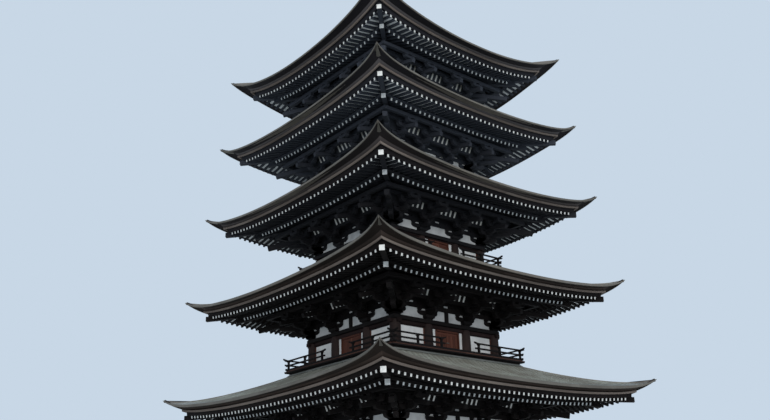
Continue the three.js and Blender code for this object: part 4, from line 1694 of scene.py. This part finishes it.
def finial_jewel():
    pile = Pile()
    low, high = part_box("finial_jewel")
    r = high.x
    profile = [(CORE, 0.0), (0.055, 0.0), (0.06, 0.05), (0.11, 0.075), (0.11, 0.095), (0.7 * r, 0.11)]
    profile += ball(r, 0.26, 0.145, 75, 12)
    profile += [(0.055, 0.415), (0.05, 0.47), (0.10, 0.49), (0.10, 0.505), (0.05, 0.52)]
    profile += ball(0.9 * r, 0.69, 0.15, 40, 10)
    profile += [(0.09, 0.86), (0.045, 0.93), (0.018, 0.975), (CORE, 1.0)]
    tall = high.z - low.z
    pile.on_axis(turned_shape([(radius, low.z + share * tall) for radius, share in profile], 36))
    pile.make("finial_jewels", "bronze", "finial_jewel")


finial_jewel()

# %% [markdown]
# ## Floor, light and camera
# The building stands on a plain pale floor under a plain pale sky, as on a bright day with thin
# cloud. A soft sun stands high, and a broader and warmer light stands low, for the bright sky near
# the horizon, which reaches up under the eaves. The camera stands where the photographer stood:
# 1.6 m above the ground, about 29 m from the middle of the building, looking up by 21 degrees.

# %% A plain floor and soft light
scene = bpy.context.scene
FLOOR_HALF = 400.0
floor_mesh = bpy.data.meshes.new("floor")
floor_mesh.from_pydata([(x * FLOOR_HALF, y * FLOOR_HALF, 0) for x, y in SQUARE], [], [(0, 1, 2, 3)])
floor = bpy.data.objects.new("floor", floor_mesh)
scene.collection.objects.link(floor)
tree = new_finish("pale_floor")
feed(tree, tree.nodes["Principled BSDF"], {"Base Color": linear("#cdcecb"), "Roughness": 0.9})
floor_mesh.materials.append(finishes["pale_floor"])
floor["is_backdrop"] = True

world = bpy.data.worlds.new("pale_sky")
world.use_nodes = True
feed(world.node_tree, world.node_tree.nodes["Background"], {"Color": linear("#c8d7e6"), "Strength": 1.0})
scene.world = world


def light(name, strength, spread, tilt, turn, colour=(1, 1, 1)):
    """A sun lamp; its spread, tilt and turn are in degrees."""
    data = bpy.data.lights.new(name, "SUN")
    data.energy = strength
    data.angle = math.radians(spread)
    data.color = colour
    lamp = bpy.data.objects.new(name, data)
    lamp.rotation_euler = (math.radians(tilt), 0, math.radians(turn))
    scene.collection.objects.link(lamp)


light("soft_sun", 1.2, 25, 48, -10)
# A second, very broad light stands low, as a bright sky near the horizon does.
light("low_sky", 2.0, 50, 77, -34, (1.0, 0.95, 0.88))
scene.view_settings.view_transform = "Standard"

# %% The camera at the photographer's place
CAMERA_PLACE = Vector((-18.935, -21.657, 1.6))
LOOK_RIGHT_OF_Y = math.radians(40.247)
LOOK_UP = math.radians(20.985)
ROLL = math.radians(-1.741)

level = Vector((math.sin(LOOK_RIGHT_OF_Y), math.cos(LOOK_RIGHT_OF_Y), 0))
ahead = level * math.cos(LOOK_UP) + Vector((0, 0, math.sin(LOOK_UP)))
right = level.cross(Vector((0, 0, 1)))
upward = right.cross(ahead)
rolled_right = right * math.cos(ROLL) + upward * math.sin(ROLL)
rolled_up = upward * math.cos(ROLL) - right * math.sin(ROLL)

camera_data = bpy.data.cameras.new("camera")
camera_data.sensor_width = 36
camera_data.lens = 39.467
camera_data.clip_end = 1000
camera = bpy.data.objects.new("camera", camera_data)
camera.matrix_world = Matrix((rolled_right, rolled_up, -ahead)).transposed().to_4x4()
camera.location = CAMERA_PLACE
scene.collection.objects.link(camera)
scene.camera = camera

# %% Print the sizes of the frame and of the visual model
visual_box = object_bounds()
for name, box in (("frame", cad_box), ("visual model", visual_box)):
    print(name, [[round(value, 3) for value in corner] for corner in box])
